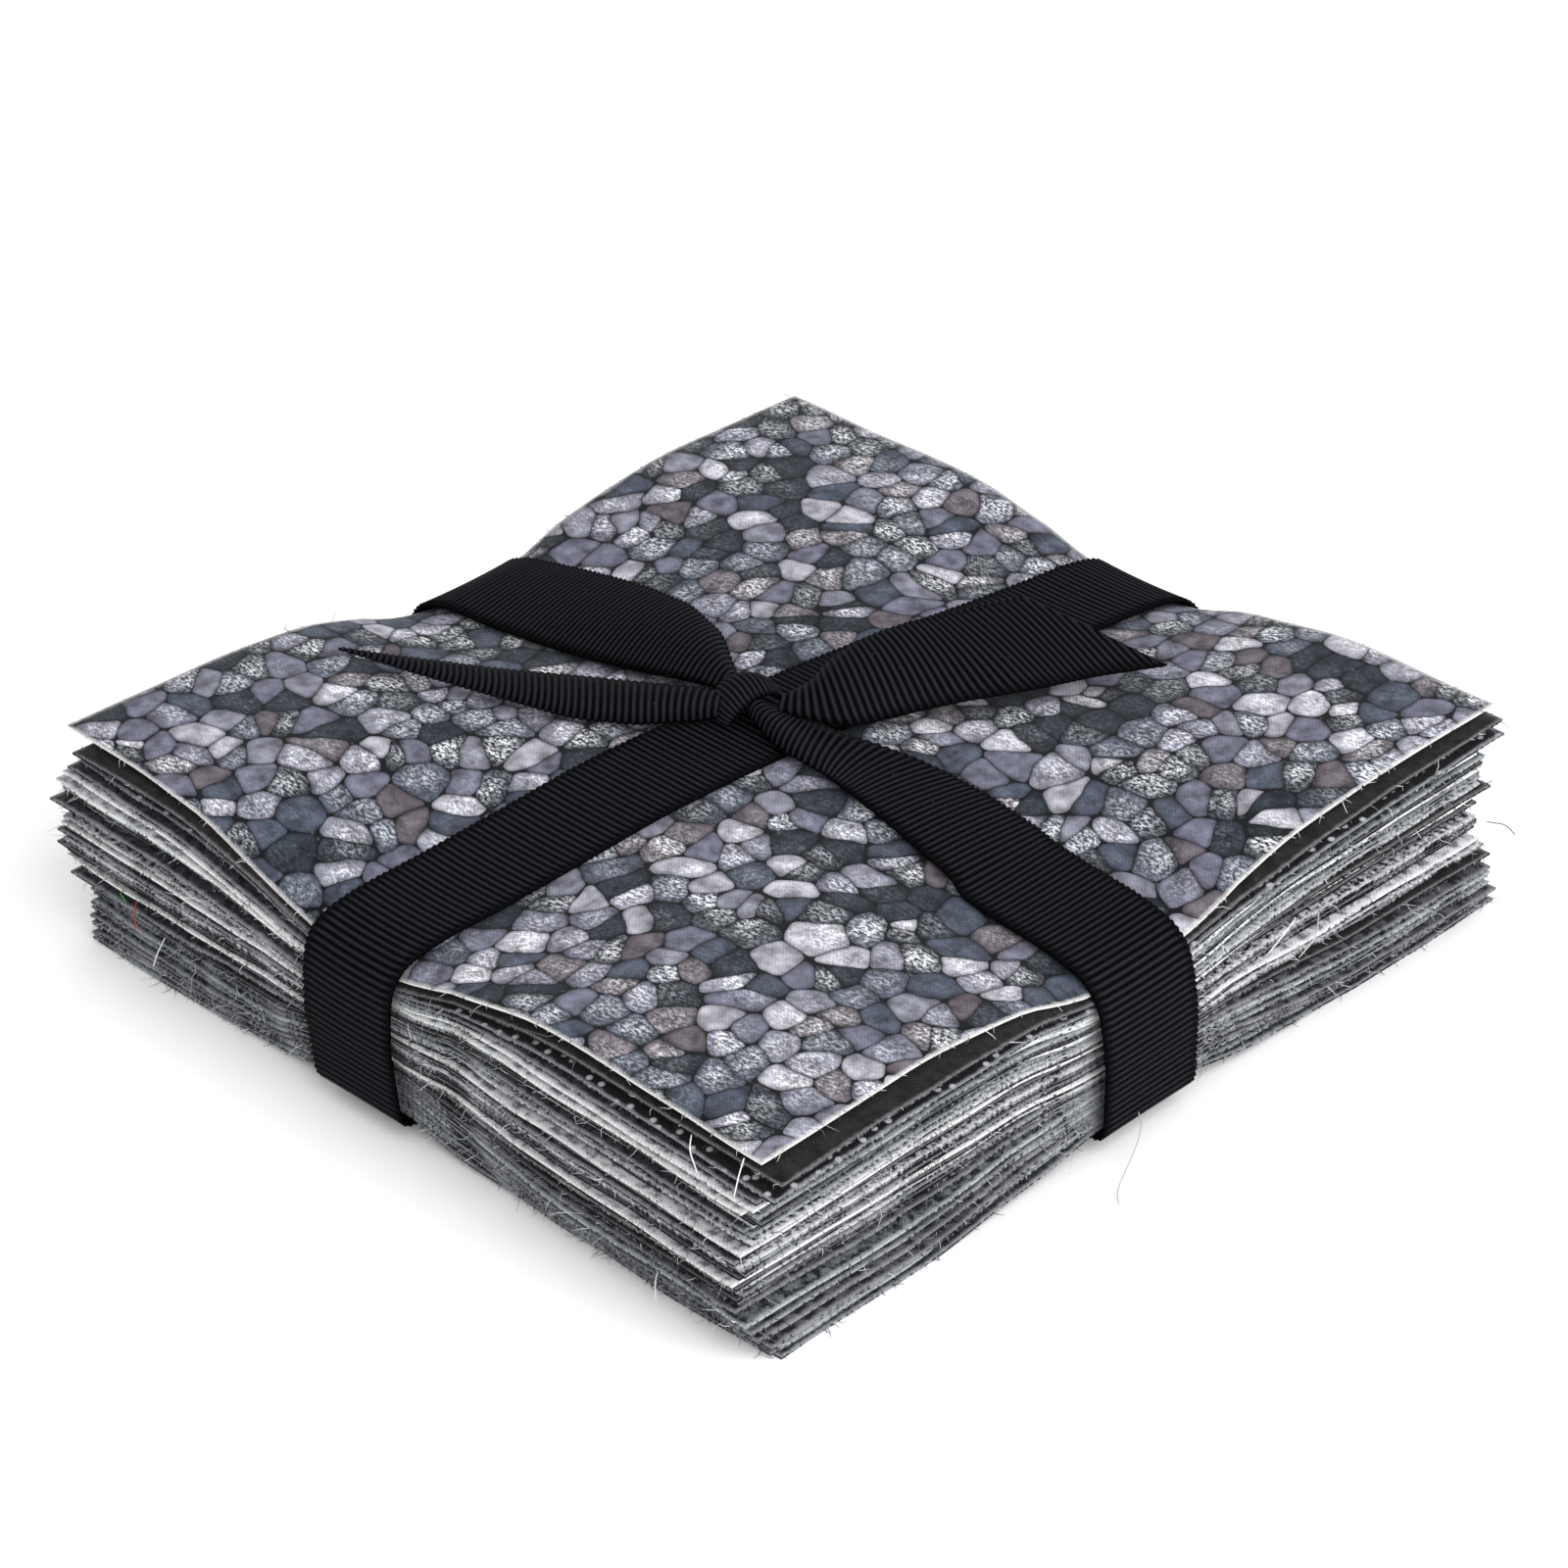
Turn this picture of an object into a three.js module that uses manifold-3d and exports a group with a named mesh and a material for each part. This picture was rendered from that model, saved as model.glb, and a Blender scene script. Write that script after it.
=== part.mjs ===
// A charm pack: a stack of fabric squares, bound both ways by one grosgrain ribbon that is knotted on top.
// Millimetres, +Z up. The origin is on the table, under the middle of the stack. The sides of the squares
// run along X and Y. The corner that faces the viewer is at +X -Y.

import * as THREE from 'three';
import { mergeVertices } from 'three/addons/utils/BufferGeometryUtils.js';
import Module from 'manifold-3d';

const wasm = await Module();
wasm.setup();

// The stack of squares
const SQUARE = 127;               // side of a cut square, five inches
const HALF = SQUARE / 2;
const LEAF_GAP = 0.33;            // space between one leaf and the next under the ribbon
const STACK_TOP = { left: 33, front: 28, right: 30, back: 28 };   // height of the stack at each corner
const SIDE_TOP = 25;              // height to which the ribbon pulls the top edges down
const SIDE_LIFT = 3.5;            // how far it holds the bottom edges off the table
const DIP_STARTS = 0.2;           // the dip begins this far out, as a share of HALF, and is full at the edge
const FAN_ROOM = 26;              // from the ribbon's edge to where the top of a corner is fully fanned out
const FOOT_ROOM = 42;             // the same for the underside, which comes down to the table more slowly
const FOOT_SHARE = 0.75;          // share of that at which a corner lies flat on the table
const EDGE_PULL = 0.3;            // share of a leaf's shift and turn that the tight ribbon leaves at the edge

// Lines of the net that every leaf is drawn on, as shares of HALF, closer together beside the ribbon.
// The inner lines are the same for all leaves, so that the leaves nest. The outer ones are its own edges.
const NET = [-1, -0.8, -0.58, -0.38, -0.18, 0, 0.18, 0.38, 0.58, 0.8, 1];

// The ribbon
const RIBBON_WIDTH = 16;
const RIBBON_THICK = 1;
const RIBBON_GAP = 0.4;           // space between the ribbon and the cloth
const EDGE_CLEAR = 1.2;           // from the edges of the squares to the middle of the ribbon beside them
const CREST_CLEAR = 1.4;          // the same above the top edge, where the ribbon turns over it
const TURN_RADIUS = 2.4;          // of that turn
const UNDER_RADIUS = 1.8;         // of its turn under the bottom edge
const SIDE_BULGE = 0.6;           // how far it swells out half way down the side
const LAYER_STEP = 1.3;           // one band lies this far above the other where they cross
const CREST_STARTS = 0.55;        // share of HALF at which it begins to rise to that turn
const CROWN_SHARE = 0.14;         // drawn in, it arches by this share of the width that it loses
const ACROSS_STEPS = 4;           // flats across the ribbon's width
const TOP_STEPS = 16;             // sections along the top of a band
const TURN_ANGLES = [30, 60, 90]; // sections round a turn, in degrees
const UNDER_SHARES = [0.6, 0.25, -0.25, -0.6];   // sections underneath, as shares of HALF

// Where each leaf of the stack lies, from the table up. A leaf is one to three squares that cling together.
// x and y are its shift, turn its angle in degrees. The last four are the extra gaps under it at the corners,
// where the stack fans out.
const LEAVES = [
  { x: 0.2, y: 0.0, turn: 0.1, left: 0.0, front: 0.0, right: 0.0, back: 0.0 },
  { x: 0.4, y: -0.2, turn: -0.6, left: 0.0, front: 0.4, right: 0.5, back: 0.3 },
  { x: 0.2, y: -0.4, turn: -1.4, left: 0.1, front: 0.3, right: 0.7, back: 0.1 },
  { x: 0.3, y: -0.2, turn: -2.0, left: 0.0, front: 0.6, right: 0.4, back: 0.4 },
  { x: 0.0, y: -0.5, turn: -2.5, left: 0.1, front: 0.3, right: 0.8, back: 0.2 },
  { x: -0.5, y: -1.5, turn: -1.6, left: 3.2, front: 1.4, right: 0.7, back: 0.5 },
  { x: -0.8, y: -2.3, turn: -1.1, left: 0.6, front: 0.2, right: 0.1, back: 0.3 },
  { x: -0.5, y: -2.7, turn: -0.8, left: 0.5, front: 0.6, right: 0.3, back: 0.6 },
  { x: -0.7, y: -2.2, turn: -0.6, left: 0.7, front: 0.2, right: 1.3, back: 0.2 },
  { x: 0.1, y: -1.9, turn: -0.2, left: 0.4, front: 0.5, right: 0.2, back: 0.4 },
  { x: -0.2, y: -1.4, turn: -0.5, left: 0.8, front: 0.2, right: 0.5, back: 0.3 },
  { x: 0.2, y: -1.7, turn: -0.2, left: 0.5, front: 0.6, right: 0.4, back: 0.6 },
  { x: 0.5, y: -1.0, turn: 0.2, left: 0.7, front: 0.3, right: 0.9, back: 0.3 },
  { x: 2.4, y: -0.8, turn: 0.0, left: 0.6, front: 0.4, right: 0.6, back: 0.4 },
  { x: -0.1, y: 0.1, turn: -0.3, left: 0.9, front: 0.8, right: 0.0, back: 0.6 },
];

// The two bands that bind the stack, each in two halves from the middle of the pack.
// edge is where a half's middle line crosses the edge of the squares, arch how far it rises beside the knot,
// neck its width at the knot, and open the distance from the knot at which it is full width again.
const BANDS = {
  alongY: {
    start: { edge: -7.6, arch: 0.4, neck: 15, open: 10 },
    end: { edge: 4.6, arch: 0.6, neck: 11, open: 24 },
  },
  alongX: {
    start: { edge: 2.7, arch: 2.8, neck: 8, open: 34 },
    end: { edge: -2.3, arch: 1.6, neck: 4.5, open: 30 },
  },
};
const ARCH_REACH = 46;            // a half lies on the cloth again this far from the knot
const KNOT = { x: -2.2, y: 0, rise: 5, length: 12, width: 9, height: 7.6, angle: 45 };
const KNOT_TURN = { radius: 2.9, strand: 1.3, stretch: 1.15, breadth: 2.6 };   // the turn across its top

// The free ends. Each row is a section: x and y from the knot, up above the cloth at the knot, width across,
// tilt in degrees about its own length, crown, how far its middle stands above its edges,
// and slant, how far its edge at the front runs ahead of the one behind.
const BROAD_END = [
  { x: 1.0, y: 1, up: 3.6, width: 6, tilt: 14, crown: 1.2, slant: 0 },
  { x: 4.4, y: 6, up: 4.6, width: 9, tilt: 22, crown: 1.5, slant: 0 },
  { x: 8.2, y: 13, up: 5.0, width: 13, tilt: 26, crown: 1.2, slant: 2 },
  { x: 12.0, y: 21, up: 4.8, width: 16, tilt: 27, crown: 0.8, slant: 4 },
  { x: 15.6, y: 29, up: 4.4, width: 16, tilt: 26, crown: 0.5, slant: 7 },
  { x: 18.4, y: 35.5, up: 4.0, width: 16, tilt: 25, crown: 0.3, slant: 10 },
  { x: 20.6, y: 40, up: 3.8, width: 16, tilt: 25, crown: 0.2, slant: 12 },
];
const DART_END = [
  { x: -1, y: -0.5, up: 2.6, width: 6, tilt: 14, crown: 1.2, slant: 0 },
  { x: -8, y: -3.6, up: 2.9, width: 7, tilt: 18, crown: 1.6, slant: 0 },
  { x: -17, y: -8.4, up: 2.9, width: 7, tilt: 20, crown: 1.6, slant: 0 },
  { x: -28, y: -14.4, up: 2.8, width: 6, tilt: 20, crown: 1.3, slant: 0 },
  { x: -38, y: -20, up: 2.8, width: 4.2, tilt: 20, crown: 0.9, slant: 0 },
  { x: -46, y: -24.4, up: 2.9, width: 2.4, tilt: 20, crown: 0.4, slant: 0 },
  { x: -50, y: -26.6, up: 3.0, width: 1.2, tilt: 20, crown: 0.2, slant: 0 },
];

const UP = new THREE.Vector3(0, 0, 1);

function easedStep(from, to, value) {
  return THREE.MathUtils.smoothstep(value, from, to);
}

// Where the middle line of a band runs
function bandCentre(band, along) {
  const share = THREE.MathUtils.clamp(0.5 + along / SQUARE, 0, 1);
  return THREE.MathUtils.lerp(band.start.edge, band.end.edge, share);
}

// The form of the stack: how far a place is fanned out, and how far the ribbon pulls it in

function fanned(fromCentre, room) {
  return easedStep(0, room, Math.abs(fromCentre) - RIBBON_WIDTH / 2);
}

function fannedPastY(x, y, room = FAN_ROOM) {
  return fanned(x - bandCentre(BANDS.alongY, y), room);
}

function fannedPastX(x, y, room = FAN_ROOM) {
  return fanned(y - bandCentre(BANDS.alongX, x), room);
}

function flare(x, y) {
  return fannedPastY(x, y) * fannedPastX(x, y);
}

function pulledIn(x, y) {
  const towardX = easedStep(DIP_STARTS, 1, Math.abs(x) / HALF);
  const towardY = easedStep(DIP_STARTS, 1, Math.abs(y) / HALF);
  return towardX * (1 - fannedPastX(x, y)) + towardY * (1 - fannedPastY(x, y));
}

// A value given at the four corners, spread evenly over the square
function fromCorners(corner, x, y) {
  const a = THREE.MathUtils.clamp(0.5 + x / SQUARE, 0, 1);
  const b = THREE.MathUtils.clamp(0.5 + y / SQUARE, 0, 1);
  const near = corner.left * (1 - a) + corner.front * a;
  const far = corner.back * (1 - a) + corner.right * a;
  return near * (1 - b) + far * b;
}

function stackBottom(x, y) {
  const down = fannedPastY(x, y, FOOT_ROOM) * fannedPastX(x, y, FOOT_ROOM);
  return SIDE_LIFT * (1 - easedStep(0, FOOT_SHARE, down));
}

function stackTop(x, y) {
  return THREE.MathUtils.lerp(fromCorners(STACK_TOP, x, y), SIDE_TOP, pulledIn(x, y));
}

function gapUnder(leaf, x, y) {
  return LEAF_GAP + flare(x, y) * fromCorners(leaf, x, y);
}

// The leaves share what the gaps leave of the stack's height
function leafThickness(x, y) {
  const gaps = LEAVES.slice(1).reduce((sum, leaf) => sum + gapUnder(leaf, x, y), 0);
  return (stackTop(x, y) - stackBottom(x, y) - gaps) / LEAVES.length;
}

function leafBottom(index, x, y) {
  let height = stackBottom(x, y);
  for (let below = 1; below <= index; below += 1) {
    height += leafThickness(x, y) + gapUnder(LEAVES[below], x, y);
  }
  return height;
}

// A place on the net of a leaf: its edges are shifted and turned, its inner lines are not
function leafPlace(leaf, i, j) {
  const last = NET.length - 1;
  const onSideX = i === 0 || i === last;
  const onSideY = j === 0 || j === last;
  const place = new THREE.Vector2(NET[i] * HALF, NET[j] * HALF);
  const turn = THREE.MathUtils.degToRad(leaf.turn);
  const move = place.clone().rotateAround(new THREE.Vector2(), turn).sub(place);
  move.add(new THREE.Vector2(leaf.x, leaf.y));
  const keptX = THREE.MathUtils.lerp(EDGE_PULL, 1, fannedPastX(place.x, place.y));
  const keptY = THREE.MathUtils.lerp(EDGE_PULL, 1, fannedPastY(place.x, place.y));
  return place.add(new THREE.Vector2(onSideX ? move.x * keptX : 0, onSideY ? move.y * keptY : 0));
}

// A field read off the net: straight between the lines, and straight on past the last one,
// so that leaves with different edges still lie on each other
function netCell(value) {
  const share = value / HALF;
  let cell = 0;
  while (cell < NET.length - 2 && NET[cell + 1] <= share) cell += 1;
  return { cell, part: (share - NET[cell]) / (NET[cell + 1] - NET[cell]) };
}

function onNet(field, x, y) {
  const across = netCell(x);
  const along = netCell(y);
  const node = (i, j) => field(NET[across.cell + i] * HALF, NET[along.cell + j] * HALF);
  const near = THREE.MathUtils.lerp(node(0, 0), node(1, 0), across.part);
  const far = THREE.MathUtils.lerp(node(0, 1), node(1, 1), across.part);
  return THREE.MathUtils.lerp(near, far, along.part);
}

// Indexed triangles to a geometry whose faces point outwards

function signedVolume(points, triangles) {
  const [a, b, c] = [new THREE.Vector3(), new THREE.Vector3(), new THREE.Vector3()];
  let volume = 0;
  for (let t = 0; t < triangles.length; t += 3) {
    a.copy(points[triangles[t]]);
    b.copy(points[triangles[t + 1]]);
    c.copy(points[triangles[t + 2]]);
    volume += a.dot(b.cross(c)) / 6;
  }
  return volume;
}

function solidGeometry(points, triangles) {
  const outward = signedVolume(points, triangles) > 0 ? triangles : triangles.slice().reverse();
  const geometry = new THREE.BufferGeometry().setFromPoints(points);
  geometry.setIndex(outward);
  geometry.computeVertexNormals();
  return geometry;
}

function leafGeometry(index) {
  const leaf = LEAVES[index];
  const rows = NET.length;
  const lower = [];
  const upper = [];
  for (let j = 0; j < rows; j += 1) {
    for (let i = 0; i < rows; i += 1) {
      const place = leafPlace(leaf, i, j);
      const bottom = onNet((x, y) => leafBottom(index, x, y), place.x, place.y);
      const thickness = onNet(leafThickness, place.x, place.y);
      lower.push(new THREE.Vector3(place.x, place.y, bottom));
      upper.push(new THREE.Vector3(place.x, place.y, bottom + thickness));
    }
  }
  const top = lower.length;
  const at = (i, j) => j * rows + i;
  const triangles = [];
  const quad = (a, b, c, d) => triangles.push(a, b, c, a, c, d);
  for (let j = 0; j < rows - 1; j += 1) {
    for (let i = 0; i < rows - 1; i += 1) {
      const [a, b, c, d] = [at(i, j), at(i + 1, j), at(i + 1, j + 1), at(i, j + 1)];
      quad(a + top, b + top, c + top, d + top);
      quad(a, d, c, b);
    }
  }
  for (let n = 0; n < rows - 1; n += 1) {
    const edges = [
      [at(n, 0), at(n + 1, 0)],
      [at(rows - 1, n), at(rows - 1, n + 1)],
      [at(n + 1, rows - 1), at(n, rows - 1)],
      [at(0, n + 1), at(0, n)],
    ];
    edges.forEach(([a, b]) => quad(a, b, b + top, a + top));
  }
  return solidGeometry(lower.concat(upper), triangles);
}

// A strip of ribbon through sections. A section has a middle point, a direction across its width,
// a direction out of its face, a width and a crown.
function stripGeometry(sections, closed) {
  const ring = 2 * (ACROSS_STEPS + 1);
  const points = [];
  for (const section of sections) {
    for (let n = 0; n < ring; n += 1) {
      const upperFace = n <= ACROSS_STEPS;
      const step = upperFace ? n : ring - 1 - n;
      const share = step / ACROSS_STEPS - 0.5;
      const out = section.crown * (1 - 4 * share * share) + (upperFace ? 0.5 : -0.5) * RIBBON_THICK;
      points.push(section.middle.clone()
        .addScaledVector(section.across, share * section.width)
        .addScaledVector(section.out, out));
    }
  }
  const triangles = [];
  const count = sections.length;
  const spans = closed ? count : count - 1;
  for (let s = 0; s < spans; s += 1) {
    const next = ((s + 1) % count) * ring;
    for (let n = 0; n < ring; n += 1) {
      const m = (n + 1) % ring;
      const [a, b, c, d] = [s * ring + n, s * ring + m, next + m, next + n];
      triangles.push(a, b, c, a, c, d);
    }
  }
  if (!closed) {
    for (let step = 0; step < ACROSS_STEPS; step += 1) {
      const [a, b, c, d] = [step, ring - 1 - step, ring - 2 - step, step + 1];
      const end = (count - 1) * ring;
      triangles.push(a, b, c, a, c, d);
      triangles.push(end + a, end + c, end + b, end + a, end + d, end + c);
    }
  }
  return solidGeometry(points, triangles);
}

// How far the squares reach along an axis where a band passes round them
function stackReach() {
  const last = NET.length - 1;
  let reach = 0;
  for (const leaf of LEAVES) {
    for (let n = 1; n < last; n += 1) {
      for (const side of [0, last]) {
        const onX = leafPlace(leaf, side, n);
        const onY = leafPlace(leaf, n, side);
        if (Math.abs(onX.y - bandCentre(BANDS.alongX, onX.x)) < RIBBON_WIDTH) {
          reach = Math.max(reach, Math.abs(onX.x));
        }
        if (Math.abs(onY.x - bandCentre(BANDS.alongY, onY.y)) < RIBBON_WIDTH) {
          reach = Math.max(reach, Math.abs(onY.y));
        }
      }
    }
  }
  return reach;
}

const SIDE_REACH = stackReach() + EDGE_CLEAR;

// One band: a closed path over the top, down the side, underneath and up again.
// place(along, across, height) turns the band's own directions into the part's.
function bandSections(band, place, layer) {
  const centre = (along) => bandCentre(band, along);
  const clothTop = (along) => {
    const spots = [-0.5, -0.25, 0, 0.25, 0.5].map((share) => {
      const spot = place(along, centre(along) + share * RIBBON_WIDTH, 0);
      return onNet(stackTop, spot.x, spot.y);
    });
    return Math.max(...spots);
  };
  const lay = RIBBON_GAP + RIBBON_THICK / 2;
  const half = (along) => (along < 0 ? band.start : band.end);
  const crossing = (along) => {
    const apart = easedStep(RIBBON_WIDTH, 2 * RIBBON_WIDTH, Math.abs(along));
    return layer * LAYER_STEP * (1 - apart);
  };
  const arch = (along) => half(along).arch * (1 - easedStep(0, ARCH_REACH, Math.abs(along)));
  const edgeTop = Math.max(clothTop(-HALF), clothTop(HALF)) + CREST_CLEAR;
  const topHeight = (along) => {
    const turnShare = easedStep(CREST_STARTS, 1, Math.abs(along) / HALF);
    const flat = clothTop(along) + lay + crossing(along) + arch(along);
    return THREE.MathUtils.lerp(flat, Math.max(flat, edgeTop), turnShare);
  };
  const under = SIDE_LIFT - lay;
  const drawnIn = (along) => {
    const share = easedStep(KNOT.width / 2, half(along).open, Math.abs(along));
    return THREE.MathUtils.lerp(half(along).neck, RIBBON_WIDTH, share);
  };

  const path = [];
  const topStop = SIDE_REACH - TURN_RADIUS;
  for (let n = 0; n <= TOP_STEPS; n += 1) {
    const along = THREE.MathUtils.lerp(-topStop, topStop, n / TOP_STEPS);
    path.push({ along, height: topHeight(along), width: drawnIn(along) });
  }
  const side = (sign) => {
    const shoulder = topHeight(sign * topStop);
    const rows = [];
    for (const angle of TURN_ANGLES) {
      const turn = THREE.MathUtils.degToRad(angle);
      rows.push({
        along: sign * (topStop + TURN_RADIUS * Math.sin(turn)),
        height: shoulder - TURN_RADIUS * (1 - Math.cos(turn)),
      });
    }
    rows.push({ along: sign * (SIDE_REACH + SIDE_BULGE), height: (shoulder + under) / 2 });
    for (const angle of [...TURN_ANGLES].reverse().concat(0)) {
      const turn = THREE.MathUtils.degToRad(angle);
      rows.push({
        along: sign * (SIDE_REACH - UNDER_RADIUS * (1 - Math.sin(turn))),
        height: under + UNDER_RADIUS * (1 - Math.cos(turn)),
      });
    }
    return rows.map((row) => ({ ...row, width: RIBBON_WIDTH }));
  };
  path.push(...side(1));
  for (const share of UNDER_SHARES) {
    const along = share * HALF;
    path.push({ along, height: under - crossing(along), width: RIBBON_WIDTH });
  }
  path.push(...side(-1).reverse());

  return path.map((row, n) => {
    const before = path[(n + path.length - 1) % path.length];
    const after = path[(n + 1) % path.length];
    const run = new THREE.Vector2(after.along - before.along, after.height - before.height).normalize();
    const origin = place(0, 0, 0);
    return {
      middle: place(row.along, centre(row.along), row.height),
      across: place(0, 1, 0).sub(origin),
      out: place(-run.y, 0, run.x).sub(origin),
      width: row.width,
      crown: (RIBBON_WIDTH - row.width) * CROWN_SHARE,
    };
  });
}

const bandPlaces = {
  alongY: (along, across, height) => new THREE.Vector3(across, along, height),
  alongX: (along, across, height) => new THREE.Vector3(along, across, height),
};

// A free end, from the knot outwards
function endSections(rows) {
  const clothAtKnot = stackTop(KNOT.x, KNOT.y);
  const knot = new THREE.Vector3(KNOT.x, KNOT.y, clothAtKnot);
  const points = rows.map((row) => new THREE.Vector3(row.x, row.y, row.up).add(knot));
  return rows.map((row, n) => {
    const from = points[Math.max(n - 1, 0)];
    const to = points[Math.min(n + 1, points.length - 1)];
    const run = to.clone().sub(from).normalize();
    const level = run.clone().cross(UP).normalize();
    const across = level.applyAxisAngle(run, THREE.MathUtils.degToRad(row.tilt));
    return {
      middle: points[n],
      across: across.clone().addScaledVector(run, row.slant / row.width),
      out: across.clone().cross(run),
      width: row.width,
      crown: row.crown,
    };
  });
}

// The knot: a small lump of tightly drawn ribbon, with the turn that holds it across its top
function knotGeometries() {
  const base = stackTop(KNOT.x, KNOT.y) + KNOT.rise;
  const angle = THREE.MathUtils.degToRad(KNOT.angle);
  const lump = new THREE.SphereGeometry(0.5, 14, 8);
  lump.scale(KNOT.length, KNOT.width, KNOT.height);
  lump.rotateZ(angle);
  lump.translate(KNOT.x, KNOT.y, base);
  const turn = new THREE.TorusGeometry(KNOT_TURN.radius, KNOT_TURN.strand, 7, 14);
  turn.scale(KNOT_TURN.stretch, 1, KNOT_TURN.breadth);
  turn.rotateX(Math.PI / 2);
  turn.rotateZ(-angle);
  turn.translate(KNOT.x, KNOT.y, base);
  return [lump, turn];
}

// Joining

function toSolid(geometry) {
  const bare = geometry.clone();
  bare.deleteAttribute('normal');
  bare.deleteAttribute('uv');
  const merged = mergeVertices(bare, 1e-4);
  return new wasm.Manifold(new wasm.Mesh({
    numProp: 3,
    vertProperties: new Float32Array(merged.attributes.position.array),
    triVerts: new Uint32Array(merged.index.array),
  }));
}

function fromSolid(solid) {
  const mesh = solid.getMesh();
  const geometry = new THREE.BufferGeometry();
  geometry.setAttribute('position', new THREE.BufferAttribute(new Float32Array(mesh.vertProperties), 3));
  geometry.setIndex(new THREE.BufferAttribute(new Uint32Array(mesh.triVerts), 1));
  geometry.computeVertexNormals();
  return geometry;
}

function ribbonGeometry() {
  const pieces = [
    stripGeometry(bandSections(BANDS.alongY, bandPlaces.alongY, 0), true),
    stripGeometry(bandSections(BANDS.alongX, bandPlaces.alongX, 1), true),
    stripGeometry(endSections(BROAD_END), false),
    stripGeometry(endSections(DART_END), false),
    ...knotGeometries(),
  ];
  return fromSolid(pieces.map(toSolid).reduce((joined, piece) => joined.add(piece)));
}

// The pack

const clothColours = ['#4b4d55', '#6e6f78', '#2d2c2e', '#8b8a93', '#3c3e46'];

const pack = new THREE.Group();

LEAVES.forEach((leaf, index) => {
  const number = String(index + 1).padStart(2, '0');
  const cotton = new THREE.MeshStandardMaterial({
    color: clothColours[index % clothColours.length],
    roughness: 0.9,
    metalness: 0,
  });
  const mesh = new THREE.Mesh(leafGeometry(index), cotton);
  mesh.name = `squares_${number}`;
  pack.add(mesh);
});

const grosgrain = new THREE.MeshStandardMaterial({ color: '#0c0c0f', roughness: 0.65, metalness: 0 });
const ribbon = new THREE.Mesh(ribbonGeometry(), grosgrain);
ribbon.name = 'ribbon';
pack.add(ribbon);

export default pack;
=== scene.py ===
# %% [markdown]
# # A charm pack, tied with ribbon
#
# A charm pack is a stack of small cotton squares, cut alike and sold together for patchwork. This one is
# bound both ways by one black grosgrain ribbon, knotted on top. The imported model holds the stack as
# fifteen leaves and the ribbon as one solid. Here every square becomes its own thin cloth on those
# leaves, and the ribbon gets its ribs, its gathered neck and its free ends.

import math

import bmesh
import bpy
import numpy as np
from mathutils import Matrix, Vector, noise
from mathutils.bvhtree import BVHTree


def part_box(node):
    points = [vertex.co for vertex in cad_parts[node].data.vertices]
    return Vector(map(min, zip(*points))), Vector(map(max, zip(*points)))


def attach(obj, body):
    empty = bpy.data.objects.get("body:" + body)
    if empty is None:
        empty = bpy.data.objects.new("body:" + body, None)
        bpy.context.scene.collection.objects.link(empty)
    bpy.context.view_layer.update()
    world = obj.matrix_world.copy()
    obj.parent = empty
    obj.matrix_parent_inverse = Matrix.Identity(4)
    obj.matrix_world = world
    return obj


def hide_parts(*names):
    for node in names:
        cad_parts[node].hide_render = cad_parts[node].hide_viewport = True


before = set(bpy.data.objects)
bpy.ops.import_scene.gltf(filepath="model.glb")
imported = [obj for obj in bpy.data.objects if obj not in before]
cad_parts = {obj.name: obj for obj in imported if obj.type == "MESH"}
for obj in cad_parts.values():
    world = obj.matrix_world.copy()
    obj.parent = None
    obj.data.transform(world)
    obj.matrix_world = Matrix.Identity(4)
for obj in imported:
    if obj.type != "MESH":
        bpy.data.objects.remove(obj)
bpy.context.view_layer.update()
scene = bpy.context.scene
MM = 0.001

# %% [markdown]
# ## Helpers
#
# Colours are written as sRGB hex values, the way a paint chart gives them, and Blender's shaders want
# linear light, so one function turns one into the other. Node trees are long to write by hand, so another
# function adds a node, sets it up and links it in one call.


# %% Colour and node helpers
def linear(hex_colour):
    """An sRGB hex colour as linear red, green, blue and alpha."""
    channels = [int(hex_colour[i : i + 2], 16) / 255 for i in (1, 3, 5)]
    light = [c / 12.92 if c <= 0.04045 else ((c + 0.055) / 1.055) ** 2.4 for c in channels]
    return [*light, 1.0]


def feed(tree, node, inputs):
    """Gives a node's sockets their values: constants, other sockets, or nodes for their first socket."""
    for name, value in inputs.items():
        if isinstance(value, bpy.types.Node):
            value = value.outputs[0]
        if isinstance(value, bpy.types.NodeSocket):
            tree.links.new(value, node.inputs[name])
        else:
            node.inputs[name].default_value = value


def add_node(tree, kind, inputs=None, **settings):
    """Adds a node, sets it up and feeds its sockets."""
    made = tree.nodes.new("ShaderNode" + kind)
    for name, value in settings.items():
        setattr(made, name, value)
    feed(tree, made, inputs or {})
    return made


def new_material(name, finish):
    """A material's tree with a Principled shader of this finish and an output."""
    material = bpy.data.materials.new(name)
    material.use_nodes = True
    tree = material.node_tree
    tree.nodes.clear()
    shader = add_node(tree, "BsdfPrincipled", finish)
    add_node(tree, "OutputMaterial", {"Surface": shader})
    return material, tree, shader


def show(name, mesh, *materials):
    """Gives a mesh its materials and puts it into the scene as an object at the origin."""
    for material in materials:
        mesh.materials.append(material)
    made = bpy.data.objects.new(name, mesh)
    scene.collection.objects.link(made)
    return made


def add_object(name, bm, *materials):
    """Turns a bmesh into an object of the scene."""
    mesh = bpy.data.meshes.new(name)
    bm.to_mesh(mesh)
    bm.free()
    return show(name, mesh, *materials)


# %% [markdown]
# ## Camera, floor and light
#
# The camera stands where the photograph was taken from: the near corner of the stack points at it, it
# looks down at about a third of a right angle, and it is rolled a little. The pack lies on a white
# surface in very soft light that comes from all round, a little more of it from the right, so its shadow
# is faint.

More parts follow.
